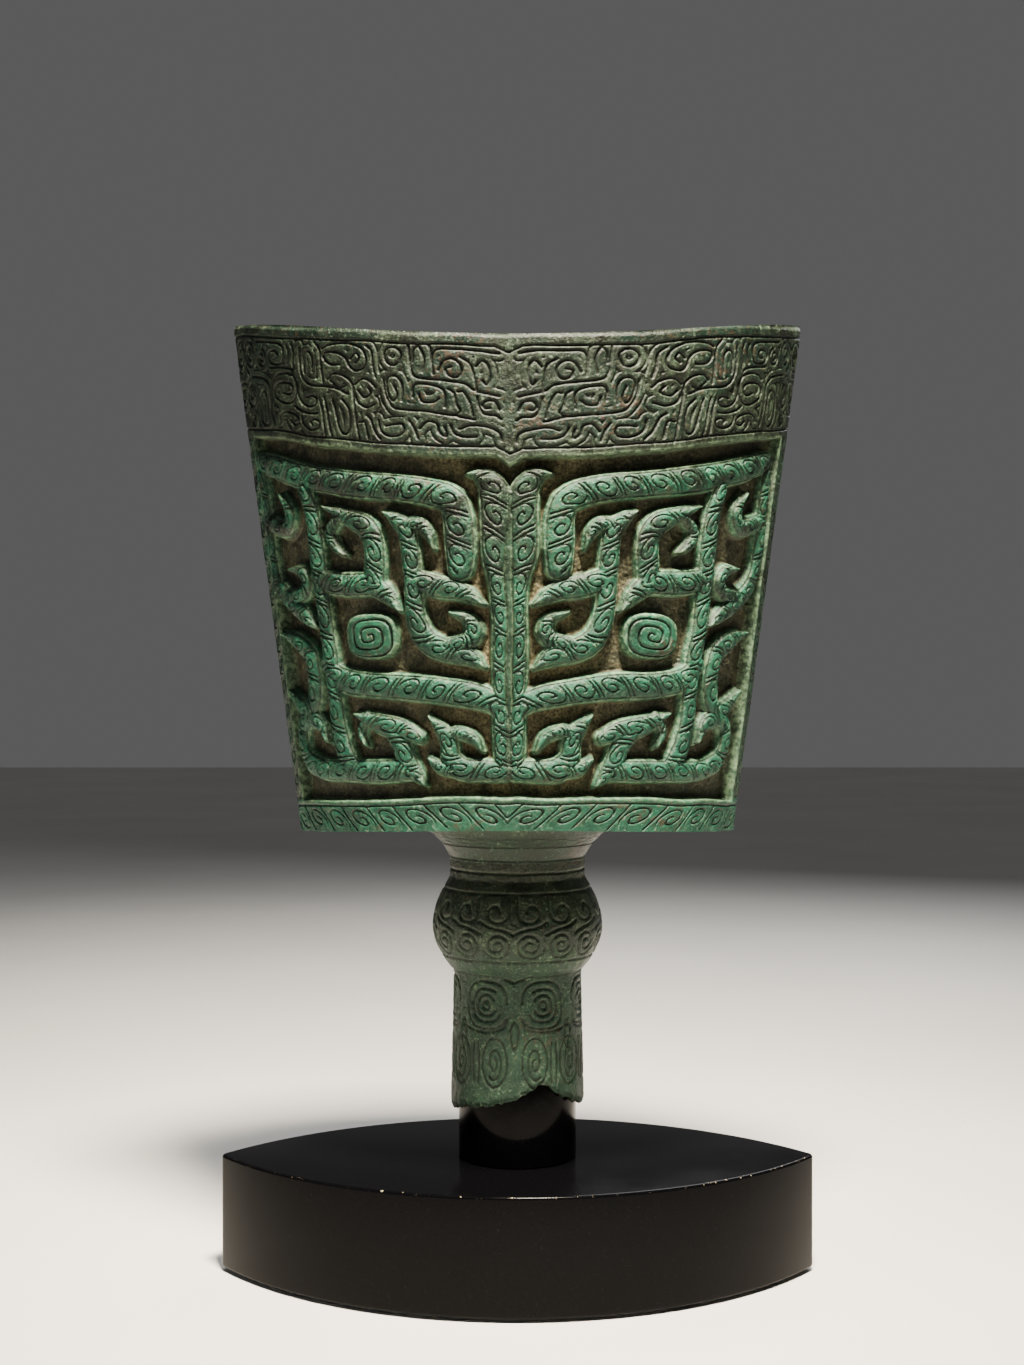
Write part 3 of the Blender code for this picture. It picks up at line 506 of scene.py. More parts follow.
rimLines = [
    [(5, 10), (17, 9), (30, 9), (37, 9), (40, 11), (41, 15)],  # upper row
    [(54, 7), (53, 15), (52, 21), (48, 24), (32, 25), (23, 26), (18, 29), (5, 32)],
    [(46, 21), (45, 14), (48, 8), (51, 10), (51.5, 16)],
    [(46, 5), (42, 8), (41, 15), (40, 22)],
    [(37, 20), (34, 15), (29, 14), (25, 17), (25, 21), (28, 23), (32, 22), (33, 19), (30, 18)],
    [(25, 13), (20, 16), (18, 23), (17, 30)],
    [(17, 17), (14, 14), (11, 16), (10, 23), (12, 26), (14, 24)],
    [(59, 16), (58, 12), (61, 9), (66, 9), (69, 12), (68, 16), (64, 18), (60, 17), (58, 13)],
    [(69, 25), (68, 32), (65, 37), (60, 40), (43, 41), (30, 42), (18, 44)],  # middle row
    [(57, 36), (57, 28), (60, 24), (65, 24), (67, 28), (65, 34), (62, 36), (60, 33), (62, 28)],
    [(51, 34), (51, 29), (48, 27), (38, 28), (34, 31), (34, 38)],
    [(48, 32), (46, 36), (40, 36), (37, 34)],
    [(32, 29), (29, 31), (28, 36), (26, 40), (31, 42)],
    [(27, 30), (24, 30), (21, 35), (19, 42)],
    [(17, 32), (16, 37), (13, 41), (7, 42), (4, 44)],
    [(5, 39), (7, 35), (11, 34), (14, 36), (13, 38), (10, 38)],
    [(73, 46), (72, 51), (67, 54), (60, 54), (56, 52), (57, 48), (62, 48), (68, 49)],  # lowest row
    [(53, 46), (50, 50), (48, 55)],
    [(47, 50), (43, 46), (38, 47), (37, 51), (33, 53), (34, 48)],
    [(31, 47), (29, 51), (24, 53), (17, 53)],
    [(26, 49), (20, 47), (11, 48), (5, 51), (4, 55)],
    [(92, 16), (89, 13), (86.5, 15.5), (89, 18)],  # further out
    [(99, 19), (106, 19), (110, 16), (108, 13), (100, 13), (95, 16), (93, 20), (89, 22), (83, 20), (82, 15),
     (86, 10), (95, 8), (106, 9), (111, 11)],
    [(82, 9), (78, 12), (77, 19), (75, 25)],
    [(129, 11), (129, 21), (127, 27), (121, 31), (106, 31), (95, 34)],
    [(125, 25), (126, 17), (123, 13), (119, 16), (119, 24)],
    [(117, 8), (113, 12), (112, 21), (111, 29)],
    [(108, 27), (104, 24), (97, 25), (92, 29), (91, 37), (89, 48), (87, 57)],
    [(106, 28), (101, 31), (97, 30)],
    [(90, 29), (85, 26), (79, 27), (75, 30)],
    [(88, 32), (84, 35), (79, 33), (81, 30)],
    [(90, 34), (88, 38), (82, 40), (76, 38)],
    [(105, 37), (102, 46), (99, 54), (95, 55), (93, 51), (94, 42), (99, 37)],
    [(110.5, 36.4), (108.5, 44), (107, 52), (105.5, 57)],
    [(87, 48), (83, 48), (81, 56)],
    [(82, 44), (79, 46), (76, 52), (72, 56)],
    [(114.2, 36.8), (112, 43.3), (111.2, 49.8), (110, 57)],
    [(152.5, 30), (149, 26.6), (140.5, 25.8), (134, 28), (132, 33.5), (133, 38.5),  # beside the edge
     (138, 42), (145.5, 42), (151.5, 39.3), (152, 34.5), (148, 31.6), (141.5, 31), (136.5, 32.2),
     (135.5, 35.2), (139, 37.3), (144, 36.7)],
    [(131.5, 30), (131, 35.5), (129, 39.2), (125.5, 41.7), (120.5, 42.1), (116.5, 40.4), (116, 37.8),
     (119.5, 36.5), (123.5, 37.8)],
    [(134, 43), (130, 44.8), (122, 45.8), (115.5, 45.2)],
    [(148, 52.4), (147, 49.4), (142.5, 47.3), (136, 47.4), (131, 49.6), (131, 52), (135, 53.4),
     (138, 51.4)],
    [(128.5, 47.8), (128, 50.7), (125.5, 53.2), (121, 54.4), (115.3, 53), (114.3, 50), (118, 48.6),
     (121.3, 50), (120, 51.8)],
    [(171, 9), (156, 8.9), (147, 9.5), (143.2, 12.2), (144, 19), (148, 20.7), (155, 20.1), (157.5, 17),
     (156, 14), (150.8, 13.5), (148.5, 16), (152, 18)],
    [(140, 10), (138.4, 14.3), (139.8, 20.5)],
    [(135.6, 9.4), (134, 13.5), (134.8, 20), (134, 23.7)],
    [(156, 22.8), (143, 22.6), (136.5, 23.6), (134.5, 26.4)],
    [(179, 28.5), (168, 28.9), (162.5, 30), (157.6, 33.6), (157, 40.7), (156, 48.2), (153.5, 55)],
    [(169, 51.9), (170.5, 43.9), (169, 38.6), (165.3, 36.4), (161.3, 39), (160, 47.5), (160.3, 54),
     (165, 55.3), (169, 51.9)],
]
rimCurls = [  # middle, size and, where they differ, turns and height to width
    (166, 18, 5.5), (181, 17, 6, 1.7, 1.3), (196, 17, 4.5, 1.5, 1.5), (182, 38, 6, 1.6, 1.4),
    (195, 40, 4.5, 1.6, 1.6), (181, 53, 3.5),
]
bands = {
    "topLine": 6.4, "lowLine": 4.6, "bend": 0.7, "drawn": (6.2, 7.2, 57.6, 58.6), "ridgeGap": (1.2, 3),
    "shoulderMiddle": 10.2, "shoulderHalf": 7.4, "shoulderCell": 20, "shoulderShear": 1.05,
    "shoulderLine": 2.9, "borderMiddle": 6, "borderHalf": 4.6, "borderCell": 13, "lip": 0.8,
    "lipMm": (0.3, 2.2),
}


def curlLine(x, y, size, turns=1.7, tall=1.0, start=0.0):
    # a spiral: the radius grows evenly from about a fifth of the size to all of it
    turn = np.linspace(0, 1, 40)
    reach = size * (0.18 + 0.82 * turn)
    angle = start + turn * turns * 2 * math.pi
    return smoothPath(np.column_stack([x + reach * np.cos(angle), y + tall * reach * np.sin(angle)]))


ribbonPaths = {name: smoothPath(points) for name, points in ribbons.items()}
rimPaths = [smoothPath(points) for points in rimLines] + [curlLine(*curl) for curl in rimCurls]


def undrifted(along, hand):
    # on the front the keel stands a little left of the middle and the left half further out: this goes
    # back to the even drawing; hand is 0 on the back
    if hand == 0:
        return along
    middle, outer = (relief["keelDrift"], relief["leftDrift"]) if hand < 0 else (-relief["keelDrift"], 0.0)
    outward = (along - relief["driftStart"] - middle) / (relief["driftRun"] + outer - middle)
    return np.abs(along - middle - (outer - middle) * np.clip(outward, 0, 1))


def maskRelief(along, height):
    # for lists of points on the drawing: how far ribbons and eye raise them (0..1), their grooves and
    # crests, and how brown the keel is there; a ribbon has a domed top and a soft flank down to the ground
    raised, groove, crest = np.zeros((3, len(along)))
    for order, (name, path) in enumerate(ribbonPaths.items()):
        near, away, side, best = nearest(path, along, height, relief["reach"])
        width, length = path[best, 2], path[best, 3]
        half = width + relief["fuller"] * ease(0.6, 3, width)
        dome = 1 - relief["crown"] * np.clip(away / half, 0, 1) ** relief["crownPower"]
        lift = dome * (1 - ease(0, relief["flank"], away - half + relief["flankIn"]))
        if name == "ridge":
            lift = lift * relief["ridgeLevel"]
        run = length + 5 * order + 1.2 * np.sin(length / 9 + order)  # uneven cells
        cell = relief["spiralCell"] * (0.45 + 0.55 * ease(2.5, 5.5, path[:, 2].max()))
        cut = spiralCells(run, side * away, half, cell) * ease(2.2, 3.2, half)
        twoLines = stroke(0.2, 0.6, away - 0.45 * half) * ease(3.6, 2.6, half) * ease(1.8, 2.2, width)
        edging = 0.85 * stroke(0.2, 0.7, away - 0.88 * half)
        cut = np.maximum(np.maximum(cut, twoLines) * (1 - ease(0.74, 0.85, away / half)), edging)
        wins = lift > raised[near]
        groove[near] = np.where(wins, cut, groove[near])
        # the crest is a painted highlight along the ribbon's edge
        crest[near] = np.where(wins, stroke(0.3, 1.6, away - half), crest[near])
        raised[near] = np.maximum(raised[near], lift)
    u, v = (along - eye["along"]) / eye["halfWidth"], (height - eye["height"]) / eye["halfHeight"]
    size = (np.abs(u) ** eye["power"] + np.abs(v) ** eye["power"]) ** (1 / eye["power"])  # 1 at its edge
    dome = (1 - eye["crown"] * np.clip(size, 0, 1) ** 2) * (1 - ease(0.93, 1.09, size))
    swirl = (eye["turns"] * size - np.arctan2(v, u) / (2 * math.pi)) % 1
    cut = ease(0.64, 0.84, np.abs(swirl - 0.5) * 2) * (1 - ease(0.9, 0.97, size))
    # a painted highlight round the eye's edge
    crest = np.where(dome > raised, stroke(0.03, 0.12, size - 0.95), crest)
    groove = np.where(dome > raised, cut, groove)
    inKeel = (1 - ease(*relief["keelHalf"], along)) * (1 - ease(*relief["keelTop"], height))
    brown = np.maximum(0.75 * (1 - ease(1.4, 2.2, along)), 0.6 * ease(*relief["keelBrown"], height))
    return np.maximum(raised, dome), groove, crest, brown * inKeel


def rimGroove(fromRidge, rimDepth, point):
    # the drawn lines, clipped between two border lines that bend down with the point of the band
    bend = bands["bend"] * point
    start, full, most, end = bands["drawn"]
    cut = lineGroove(rimPaths, fromRidge.ravel(), rimDepth.ravel()).reshape(rimDepth.shape)
    cut *= (ease(*bands["ridgeGap"], fromRidge) * ease(start, full, rimDepth)
            * ease(end, most, rimDepth - bend))
    for depth in (bands["topLine"], bell["rimBand"] - bands["lowLine"]):
        cut = np.maximum(cut, stroke(0.35, 0.95, rimDepth - depth - bend))
    return cut


def shoulderGroove(fromRidge, into):
    # a row of leaning spirals below one line
    cut = spiralCells(fromRidge, into - bands["shoulderMiddle"], bands["shoulderHalf"],
                      bands["shoulderCell"], 0, bands["shoulderShear"]) * ease(2.4, 3.2, into)
    return np.maximum(cut * ease(17, 16, into), 0.8 * stroke(0.3, 0.8, into - bands["shoulderLine"]))


def borderGroove(height, into):
    # a row of spirals up the side border
    cut = spiralCells(height, into - bands["borderMiddle"], bands["borderHalf"], bands["borderCell"])
    return cut * ease(1.0, 2.0, into) * ease(11.5, 10, into)


def wallRelief(share, height, seed, hand=0):
    # how far each point of a half wall is sunk below the bands (mm), and its depth, groove, zone and crest
    # for the material: the highest of mask, border, shoulder band and rim band counts, less its grooves
    radius, centre, angle, across = wallPlace(share, height)
    along, edge = radius * angle, radius * np.arccos(centre / radius)
    wander = cast["wander"] * lumps(along, height, 0, cast["wanderMm"], seed)
    sway = cast["wander"] * lumps(along, height, 0, cast["swayMm"], seed + 1)
    calm = ease(0, cast["calmMm"], along)  # the two halves meet evenly at the middle line
    along, height = along + wander * calm, height + sway * calm
    rimDepth = rimLine(across) - height
    fromRidge = np.abs(along + hand * relief["keelDrift"] * (1 - ease(*relief["ridgeFade"], along)))
    point = bandPoint(fromRidge)
    intoBand = bell["rimBand"] + point - rimDepth
    intoShoulder = shoulderLine(across) + bell["shoulderBand"] - height
    intoBorder = along - (edge - bell["sideBorder"])
    parts = maskRelief(undrifted(along, hand).ravel(), height.ravel())
    raised, groove, crest, brown = [part.reshape(along.shape) for part in parts]
    zone = ease(0.1, 0.42, raised) * (1 - brown)
    step = -0.8 * relief["step"], 0.25 * relief["step"]
    border, shoulder, band = [ease(*step, into) for into in (intoBorder, intoShoulder, intoBand)]
    for cover, cut, into in ((border, borderGroove(height, intoBorder), intoBorder),
                             (shoulder, shoulderGroove(fromRidge, intoShoulder), intoShoulder),
                             (band, rimGroove(fromRidge, rimDepth, point), intoBand)):
        groove = np.where(cover > 0.5, cut * cover, groove)
        # the lip along each band's edge is a painted highlight
        crest = np.where(cover > raised, bands["lip"] * stroke(*bands["lipMm"], into), crest)
        raised = np.maximum(raised, cover)
    rough = castSkin(along, height, 0, cast, seed + 2) * calm
    worn = cast["wear"] + cast["wearSwing"] * calm * lumps(along, height, 0, cast["wearMm"], seed + 4)
    cutDeep = relief["grooveDeep"] * groove * np.clip(1 + 0.35 * rough, 0.4, 1.2)
    sunk = bell["fieldSink"] * (1 - raised) + cutDeep + np.clip(worn, 0, 1)
    sunk = sunk + rough * (0.25 + 0.75 * (1 - raised))  # the ground is rougher
    sunk += (cast["rim"] * (1 - ease(0, cast["rimMm"], rimDepth))
             + cast["edge"] * (1 - ease(0, cast["edgeMm"], edge - along)))
    zone = np.maximum(zone * (1 - band), 0.85 * shoulder)
    zone = np.clip(zone + 0.35 * border * (1 - band), 0, 1)
    besideKeel = np.exp(-((along - cast["earthMiddle"]) / cast["earthRun"]) ** 2)
    low = ease(0.4, 0.08, raised) * (0.45 + 0.55 * besideKeel)
    lipHighlights = np.maximum(crest, (1.6 - 0.6 * band) * groove * (1 - groove))  # painted highlight beside the cut lines
    return np.maximum(sunk, 0), np.stack([low, groove, zone, lipHighlights], -1)


def levelAt(share, kind):
    # the height of a named level at a share of the half wall, found in four rounds
    height = np.full(share.shape, 400.0)
    for _ in range(4):
        radius, _, angle, across = wallPlace(share, height)
        height = {"rim": rimLine(across), "shoulder": shoulderLine(across),
                  "band": rimLine(across) - bell["rimBand"] - bandPoint(radius * angle),
                  "split": bell["splitZ"] + bell["splitBow"] * across**2,
                  "foot": shoulderLine(across) + bell["shoulderBand"]}[kind]
    return height


def wallSlab(name, low, high, rows, columns, half, back, seed):
    # a closed slab of one half of one face between two named levels: the relief outside as a grid of shares
    # and heights, the plain inner wall, and flat sides
    share = np.linspace(0, 1, columns)
    bottom, top = levelAt(share, low), levelAt(share, high)
    lift = np.linspace(0, 1, rows)[:, None]
    height = bottom[None, :] + (top - bottom)[None, :] * lift
    share = np.broadcast_to(share, height.shape)
    sunk, tint = wallRelief(share, height, seed, 0 if back else half)
    outer = wallPoints(share, height, sunk).reshape(-1, 3)
    inner = [wallPoints(share[0], level, 0.0, bell["wall"]) for level in (bottom, top)]
    points = np.vstack([outer] + inner) * [half, -1 if back else 1, 1]
    count, first = rows * columns, np.arange(columns)
    lowOut, highOut = first, count - columns + first
    lowIn, highIn = count + first, count + columns + first
    strips = [np.stack([a[:-1], a[1:], b[1:], b[:-1]], 1)
              for a, b in ((lowIn, lowOut), (highOut, highIn), (highIn, lowIn))]
    middle, side = np.arange(rows) * columns, np.arange(rows) * columns + columns - 1
    caps = [[highIn[0], lowIn[0], *middle], [*side[::-1], lowIn[-1], highIn[-1]]]
    sharp = np.zeros(len(points), bool)
    sharp[count:] = True
    for ring in (lowOut, highOut, middle, side):
        sharp[ring] = True
    # the inner wall takes painted shade from the inside values
    tint = np.vstack([tint.reshape(-1, 4), np.tile(bell["insideTintAndShade"], (2 * columns, 1))])
    makePiece(name, onChamber, points, np.vstack([gridQuads(rows, columns)] + strips), caps, sharp, tint)


wallParts = (("rim_band", "band", "rim", 64), ("mask_upper", "split", "band", 96),
             ("mask_lower", "foot", "split", 96), ("shoulder_band", "shoulder", "foot", 18))
for back in (False, True):
    for half in (1, -1):
        place = ("back" if back else "front") + ("_right" if half > 0 else "_left")
        cell = bell["backCell"] if back else bell["frontCell"]
        seed = 11 + 20 * back + 7 * (half > 0)
        for part, low, high, tall in wallParts:
            rows, columns = int(tall / cell), int(bell["halfArc"] / cell)
            wallSlab(f"{part}_{place}", low, high, rows, columns, half, back, seed)
print("bell walls made")


# The floor of the chamber with the flare of the neck under it

floorLook = {
    "throat": 20.0, "seat": 246.0, "bore": 30.5, "joinZ": 235.0, "turns": 320, "rise": 0.02,
    "floorRows": 12, "underRows": 24, "gap": 3.5, "corner": (1.2, 253.5),
    "frets": (244.2, 249.0), "fretRows": 3, "dashes": 20, "fretDeep": 0.5, "flareStep": 0.45,
    "lump": 0.25, "lumpMm": 6, "grain": 0.15, "grainMm": 2.4, "tint": (0.12, 0, 0.25, 0),
    "flare": [(49.5, 250.0), (46.2, 247.0), (43.2, 244.0), (40.6, 240.0), (39.4, 238.0), (38.9, 237.2),
              (38.2, 236.7), (38.3, 236.0), (38.4, 235.0)],
}


def ringPiece(name, home, rings, capped=False, sharpRows=(), tint=None):
    # a stack of rings of points, with its ends capped or joined to each other
    rows, count = rings.shape[:2]
    around = np.arange(count)
    caps = [around[::-1], (rows - 1) * count + around] if capped else []
    sharp = np.zeros((rows, count), bool)
    sharp[list(sharpRows)] = True
    tint = np.zeros((rows, count, 4)) if tint is None else tint
    quads = gridQuads(rows, count, True, not capped)
    return makePiece(name, home, rings.reshape(-1, 3), quads, caps, sharp.ravel(), tint.reshape(-1, 4))


def bellFloor():
    # for each direction a closed section: throat, floor out to the wall, underside, neck and bore
    look = floorLook
    turn = directions(look["turns"])
    radius, centre = wallArc(look["rise"])
    reach = radius - bell["wall"]
    cosine, sine = np.cos(turn), np.abs(np.sin(turn))
    lens = -sine * centre + np.sqrt(reach**2 - (cosine * centre) ** 2)  # where a ray meets the inner arc
    throat, floorZ, neck, gap = look["throat"], bell["floorZ"], look["flare"][0][0], look["gap"]
    rings = [(throat, floorZ)]
    rings += [(throat + (lens - throat) * step, floorZ) for step in np.linspace(0.05, 1, look["floorRows"])]
    floorEnd = len(rings)
    for step in np.linspace(1, 0, look["underRows"]):
        out = neck + gap + (lens - neck - gap) * step
        share = np.clip(np.abs(out * cosine) / bell["shoulderWidth"], 0, 1)
        rings.append((out, shoulderLine(share)))
    rings.append((neck + look["corner"][0], look["corner"][1]))
    first, flare = len(rings), smoothPath(look["flare"], look["flareStep"])
    onFlare = slice(first, first + len(flare))
    rings += [(r, z) for r, z, _ in flare]
    rings += [(look["bore"], look["joinZ"]), (look["bore"], look["seat"]), (throat, look["seat"])]
    out, up = [np.array([value + 0 * turn for value in values]) for values in zip(*rings)]
    level, (lower, upper) = flare[:, 1:2], look["frets"]  # rows of dashes between two lines round the flare
    course = (level - lower) / (upper - lower) * look["fretRows"]
    dashes = ease(-0.3, 0.2, np.sin(look["dashes"] * turn + math.pi * np.floor(course)))
    dashes = stroke(0.2, 0.42, course % 1 - 0.5) * dashes
    frets = 0.8 * dashes * (course > 0) * (course < look["fretRows"])
    for line in look["frets"]:
        frets = np.maximum(frets, stroke(0.2, 0.6, level - line))
    out[onFlare] -= look["fretDeep"] * frets
    x, y = out * np.cos(turn), out * np.sin(turn)
    rough = castSkin(x, y, up, look, 71)
    rough[:floorEnd] = rough[:floorEnd] * 0.8 - 0.4  # floor and underside only, kept inside the solid
    rough[floorEnd:] += 0.4
    rough[[0, floorEnd - 1, floorEnd]] = 0
    rough[first:] = 0
    points = np.stack([x, y, up + rough], -1)
    tint = np.tile(look["tint"], points.shape[:2] + (1,))
    tint[onFlare, :, 0] = 0.03  # less earth, and painted shade: darker on the flare
    tint[onFlare, :, 1] = 0.45 + 0.35 * frets
    ringPiece("bell_floor", onChamber, points, tint=tint)


bellFloor()
print("bell floor made")


# The shank: a turned profile with a broken foot, and incised marks drawn in mm about their middles

shank = {
    "top": 235.0, "neck": 38.4, "ringTop": 225.0, "ringMiddle": 197.0, "ringBottom": 171.0, "ring": 48.3,
    "full": 1.15, "waist": 36.3, "foot": 37.8, "taper": 66, "boreFoot": 34.3, "boreFootZ": 92,
    "boreTop": 30.5, "turns": 400, "rows": 190, "swing": 2.8, "grooveDeep": 0.9, "ragged": 0.9,
    "chip": 0.4, "lump": 0.22, "lumpMm": 6, "grain": 0.14, "grainMm": 2.4,
    "break": [(0, 96), (20, 98), (45, 103), (70, 106), (90, 101), (110, 99), (135, 104), (160, 96),
              (180, 93), (210, 97), (240, 101), (265, 104), (293, 113), (306, 107), (325, 102), (345, 97),
              (360, 96)],  # degrees, height
}
shankMarks = {
    "lines": [218.5, 181.5, 229.4], "lip": 172.5, "lipDrop": 3.0, "lipDegrees": 12, "reach": 2.5,
    "ringCurls": 16, "eyes": 7, "ovals": 10,
    "at": {"curl": (191.5, 47), "hook": (209.5, 45.5), "slant": (200.8, 48), "eye": (156.8, 36.6),
           "spear": (140, 37), "oval": (125, 37.3), "column": (125, 37.3)},  # height, radius
    "hook": [(1.6, -0.4), (0.2, 2.6), (-3.4, 2.6), (-5.2, -1.4), (-2.2, -5.4), (3.2, -5.2), (6.6, -0.6),
             (6.6, 7.4)],
    "slant": [(-10, -3.4), (-4, -1), (4, 0.6), (10, 3.4)],
    "underEye": [(-12.5, -7), (-9.5, -12.6), (-2, -14.8), (7, -14.4), (17, -12)],
    "eyeRings": [(2.2, 1.0, 1.0), (5.4, 0.9, 0.85), (8.6, 0.8, 0.78), (12.2, 0.7, 0.92)],
    "spear": [(-2.4, 3.5), (0, 8), (2.4, 3.5), (1.6, -4), (0, -8.5), (-1.6, -4), (-2.4, 3.5)],
    "columns": ([(-1.5, 11), (-2, 0), (-1.5, -12)], [(1.5, 11), (2, 0), (1.5, -12)]),
}


def shankRadius(height):
    # the ring swells as a power of a parabola above and below its middle; the shank widens to its foot
    def swelling(end, base):
        away = (height - shank["ringMiddle"]) / (end - shank["ringMiddle"])
        return base + (shank["ring"] - base) * np.clip(1 - away**2, 0, 1) ** shank["full"]

    above, below = swelling(shank["ringTop"], shank["neck"]), swelling(shank["ringBottom"], shank["waist"])
    fall = np.clip((shank["ringBottom"] - height) / shank["taper"], 0, 1)
    taper = shank["waist"] + (shank["foot"] - shank["waist"]) * fall
    return np.where(height > shank["ringMiddle"], above, np.maximum(below, taper))


def placesAround(count, start):
    # even places in degrees from the front, each with the hand that mirrors its mark left and right
    places = (np.arange(count) + start) * 360 / count - 180
    return [(place, 1 if place > 0 else -1) for place in places]


def shankGroove(turn, height):
    # 1 on the nearest ring line or mark, fading to 0 with distance; a mark has a kind, a place in degrees
    # from the front and a hand
    look, ring = shankMarks, np.linspace(0, 2 * math.pi, 32)
    drawn = {kind: [smoothPath(look[kind])] for kind in ("hook", "slant", "spear")}
    drawn["curl"] = [curlLine(0, 0, 8.6, 1.85, 0.95, 0.8)]
    drawn["column"] = [smoothPath(line) for line in look["columns"]]
    oval = smoothPath(np.column_stack([7.4 * np.cos(ring), 13.6 * np.sin(ring)]))
    drawn["oval"] = [oval, curlLine(0, 0, 4.6, 1.6, 2.2, 1.6)]
    drawn["eye"] = [smoothPath(look["underEye"])]
    for size, square, sweep in look["eyeRings"]:  # open rings, squarer towards the outside
        way = np.column_stack([np.cos(3.6 + ring * sweep), np.sin(3.6 + ring * sweep)])
        drawn["eye"].append(smoothPath(np.sign(way) * np.abs(way) ** square * [size, 1.06 * size]))
    marks = []
    for place, hand in placesAround(look["ringCurls"], 0.5):
        marks += [("curl", place, hand), ("hook", place, -hand), ("slant", place, hand)]
    for place, hand in placesAround(look["eyes"], 0):
        marks += [("eye", place, hand), ("spear", place + 180 / look["eyes"], 1)]
    marks += [("oval", place, hand) for place, hand in placesAround(look["ovals"], 0.5)]
    between = [place for place, _ in placesAround(look["ovals"], 0)]
    marks += [("column", place, 1) for place in between if place not in (-180, 0)]  # none front and back
    degrees = ((np.degrees(turn) + 90 + shank["swing"] + 180) % 360 - 180).ravel()
    level = height.ravel()
    lip = look["lip"] - look["lipDrop"] * np.clip(1 - np.abs(degrees) / look["lipDegrees"], 0, 1)
    groove = stroke(0.3, 0.9, level - lip)
    for line in look["lines"]:
        groove = np.maximum(groove, stroke(0.3, 0.9, level - line))
    for kind, place, hand in marks:
        middle, radius = look["at"][kind]
        across = np.radians((degrees - place + 180) % 360 - 180) * radius * hand
        for path in drawn[kind]:
            near, away, _, _ = nearest(path, across, level - middle, look["reach"])
            groove[near] = np.maximum(groove[near], stroke(0.4, 1.0, away))
    return groove.reshape(turn.shape)


def bellShank():
    # rows run from the ragged break up to the join, at the shank's radius less grooves and roughness; the
    # bore, which narrows evenly upwards, closes it inside
    turn = directions(shank["turns"])
    table = np.array(shank["break"], float)
    low = np.interp(np.degrees(turn), table[:, 0], table[:, 1])
    low = low + shank["ragged"] * lumps(np.cos(turn) * 38, np.sin(turn) * 38, 0 * turn, 5, 81) + 0.6
    lift = np.linspace(0, 1, shank["rows"])[:, None]
    height = low + (shank["top"] - low) * lift
    around = np.broadcast_to(turn, height.shape)
    radius = shankRadius(height)
    groove = shankGroove(around, height)
    x, y = radius * np.cos(around), radius * np.sin(around)
    rough = castSkin(x, y, height, shank, 82)
    sunk = shank["grooveDeep"] * groove + np.clip(0.12 + rough, 0, 2) + 0.8 * (1 - ease(0, 0.02, lift))
    narrowing = (shank["boreTop"] - shank["boreFoot"]) * (height - shank["boreFootZ"])
    bore = shank["boreFoot"] + narrowing / (shank["top"] - shank["boreFootZ"])
    chipZ = height[0] - 0.5 + shank["chip"] * lumps(x[0], y[0], 0 * x[0], 2.6, 84)
    out = np.vstack([radius - sunk, bore[[-1, 0]], (radius[0] + bore[0]) / 2])
    up = np.vstack([height, height[[-1, 0]], chipZ])
    points = np.stack([out * np.cos(turn), out * np.sin(turn), up], -1)
    rows = shank["rows"]
    tint = np.zeros(points.shape[:2] + (4,))
    tint[:rows, :, 0] = 0.1
    tint[rows:, :, 0] = 0.5
    tint[:rows, :, 1] = np.maximum(0.8 * groove, 0.45 * ease(212, 232, height))  # painted shade: darker up to the neck
    tint[:rows, :, 2] = 0.1 + 0.75 * (1 - ease(165, 222, height))
    # painted highlight beside the shank's grooves
    tint[:rows, :, 3] = 1.6 * groove * (1 - groove)
    ringPiece("bell_shank_cast", ("bell", "bell_shank", "bronze", bronze), points, False,
              (0, rows - 1, rows, rows + 1), tint)


bellShank()
print("bell shank made")


# The stand

stand = {
    "halfLength": 168.0, "halfDepth": 86.0, "tip": 5.0, "bottom": 2.3, "top": 66.0, "edge": 1.5, "arc": 220,
    "baize": [(4.3, 0.0), (4.0, 0.5), (4.0, 1.5), (4.3, 2.0)], "post": 33.3, "postFoot": 66.3,
    "shoulder": 118.0, "spigot": 25.0, "spigotTop": 240.4, "round": 120,
}
lining = {"out": 29.3, "in": 25.3, "top": 240.0, "foot": 118.4, "rows": 60, "seat": 28.2, "seatTop": 245.7,
          "seatFoot": 240.75}


def lensOutline(inset):
    # two arcs that meet in small round tips, drawn inwards by the inset
    tip, reach = stand["tip"], stand["halfLength"] - stand["tip"]
    radius = (reach**2 + stand["halfDepth"] ** 2 - tip**2) / (2 * (stand["halfDepth"] - tip))
    centre, swing = radius - stand["halfDepth"], math.asin(reach / (radius - tip))
    sweep = np.linspace(-swing, swing, stand["arc"])
    small = np.linspace(-(math.pi / 2 - swing), math.pi / 2 - swing, 12)[1:-1]
    front = np.column_stack([(radius - inset) * np.sin(sweep), centre - (radius - inset) * np.cos(sweep)])
    right = np.column_stack([reach + (tip - inset) * np.cos(small), (tip - inset) * np.sin(small)])
    return np.vstack([front, right, -front, -right])


def lensBlock(name, home, levels, wear=0.0, fuzz=0.0, seed=0, sharpRows=()):
    # lens outlines stacked by (inset, height); wear is how chipped each level is
    outlines = [(lensOutline(inset), z) for inset, z in levels]
    rings = np.stack([np.column_stack([line, np.full(len(line), z)]) for line, z in outlines])
    if fuzz:
        nap = 1 + lumps(*np.moveaxis(rings, -1, 0), 2.0, seed)
        rings[..., :2] -= rings[..., :2] / stand["halfLength"] * fuzz * nap[..., None]
    tint = np.zeros(rings.shape[:2] + (4,))
    tint[..., 0] = np.reshape(wear, (-1, 1))
    ringPiece(name, home, rings, True, sharpRows, tint)


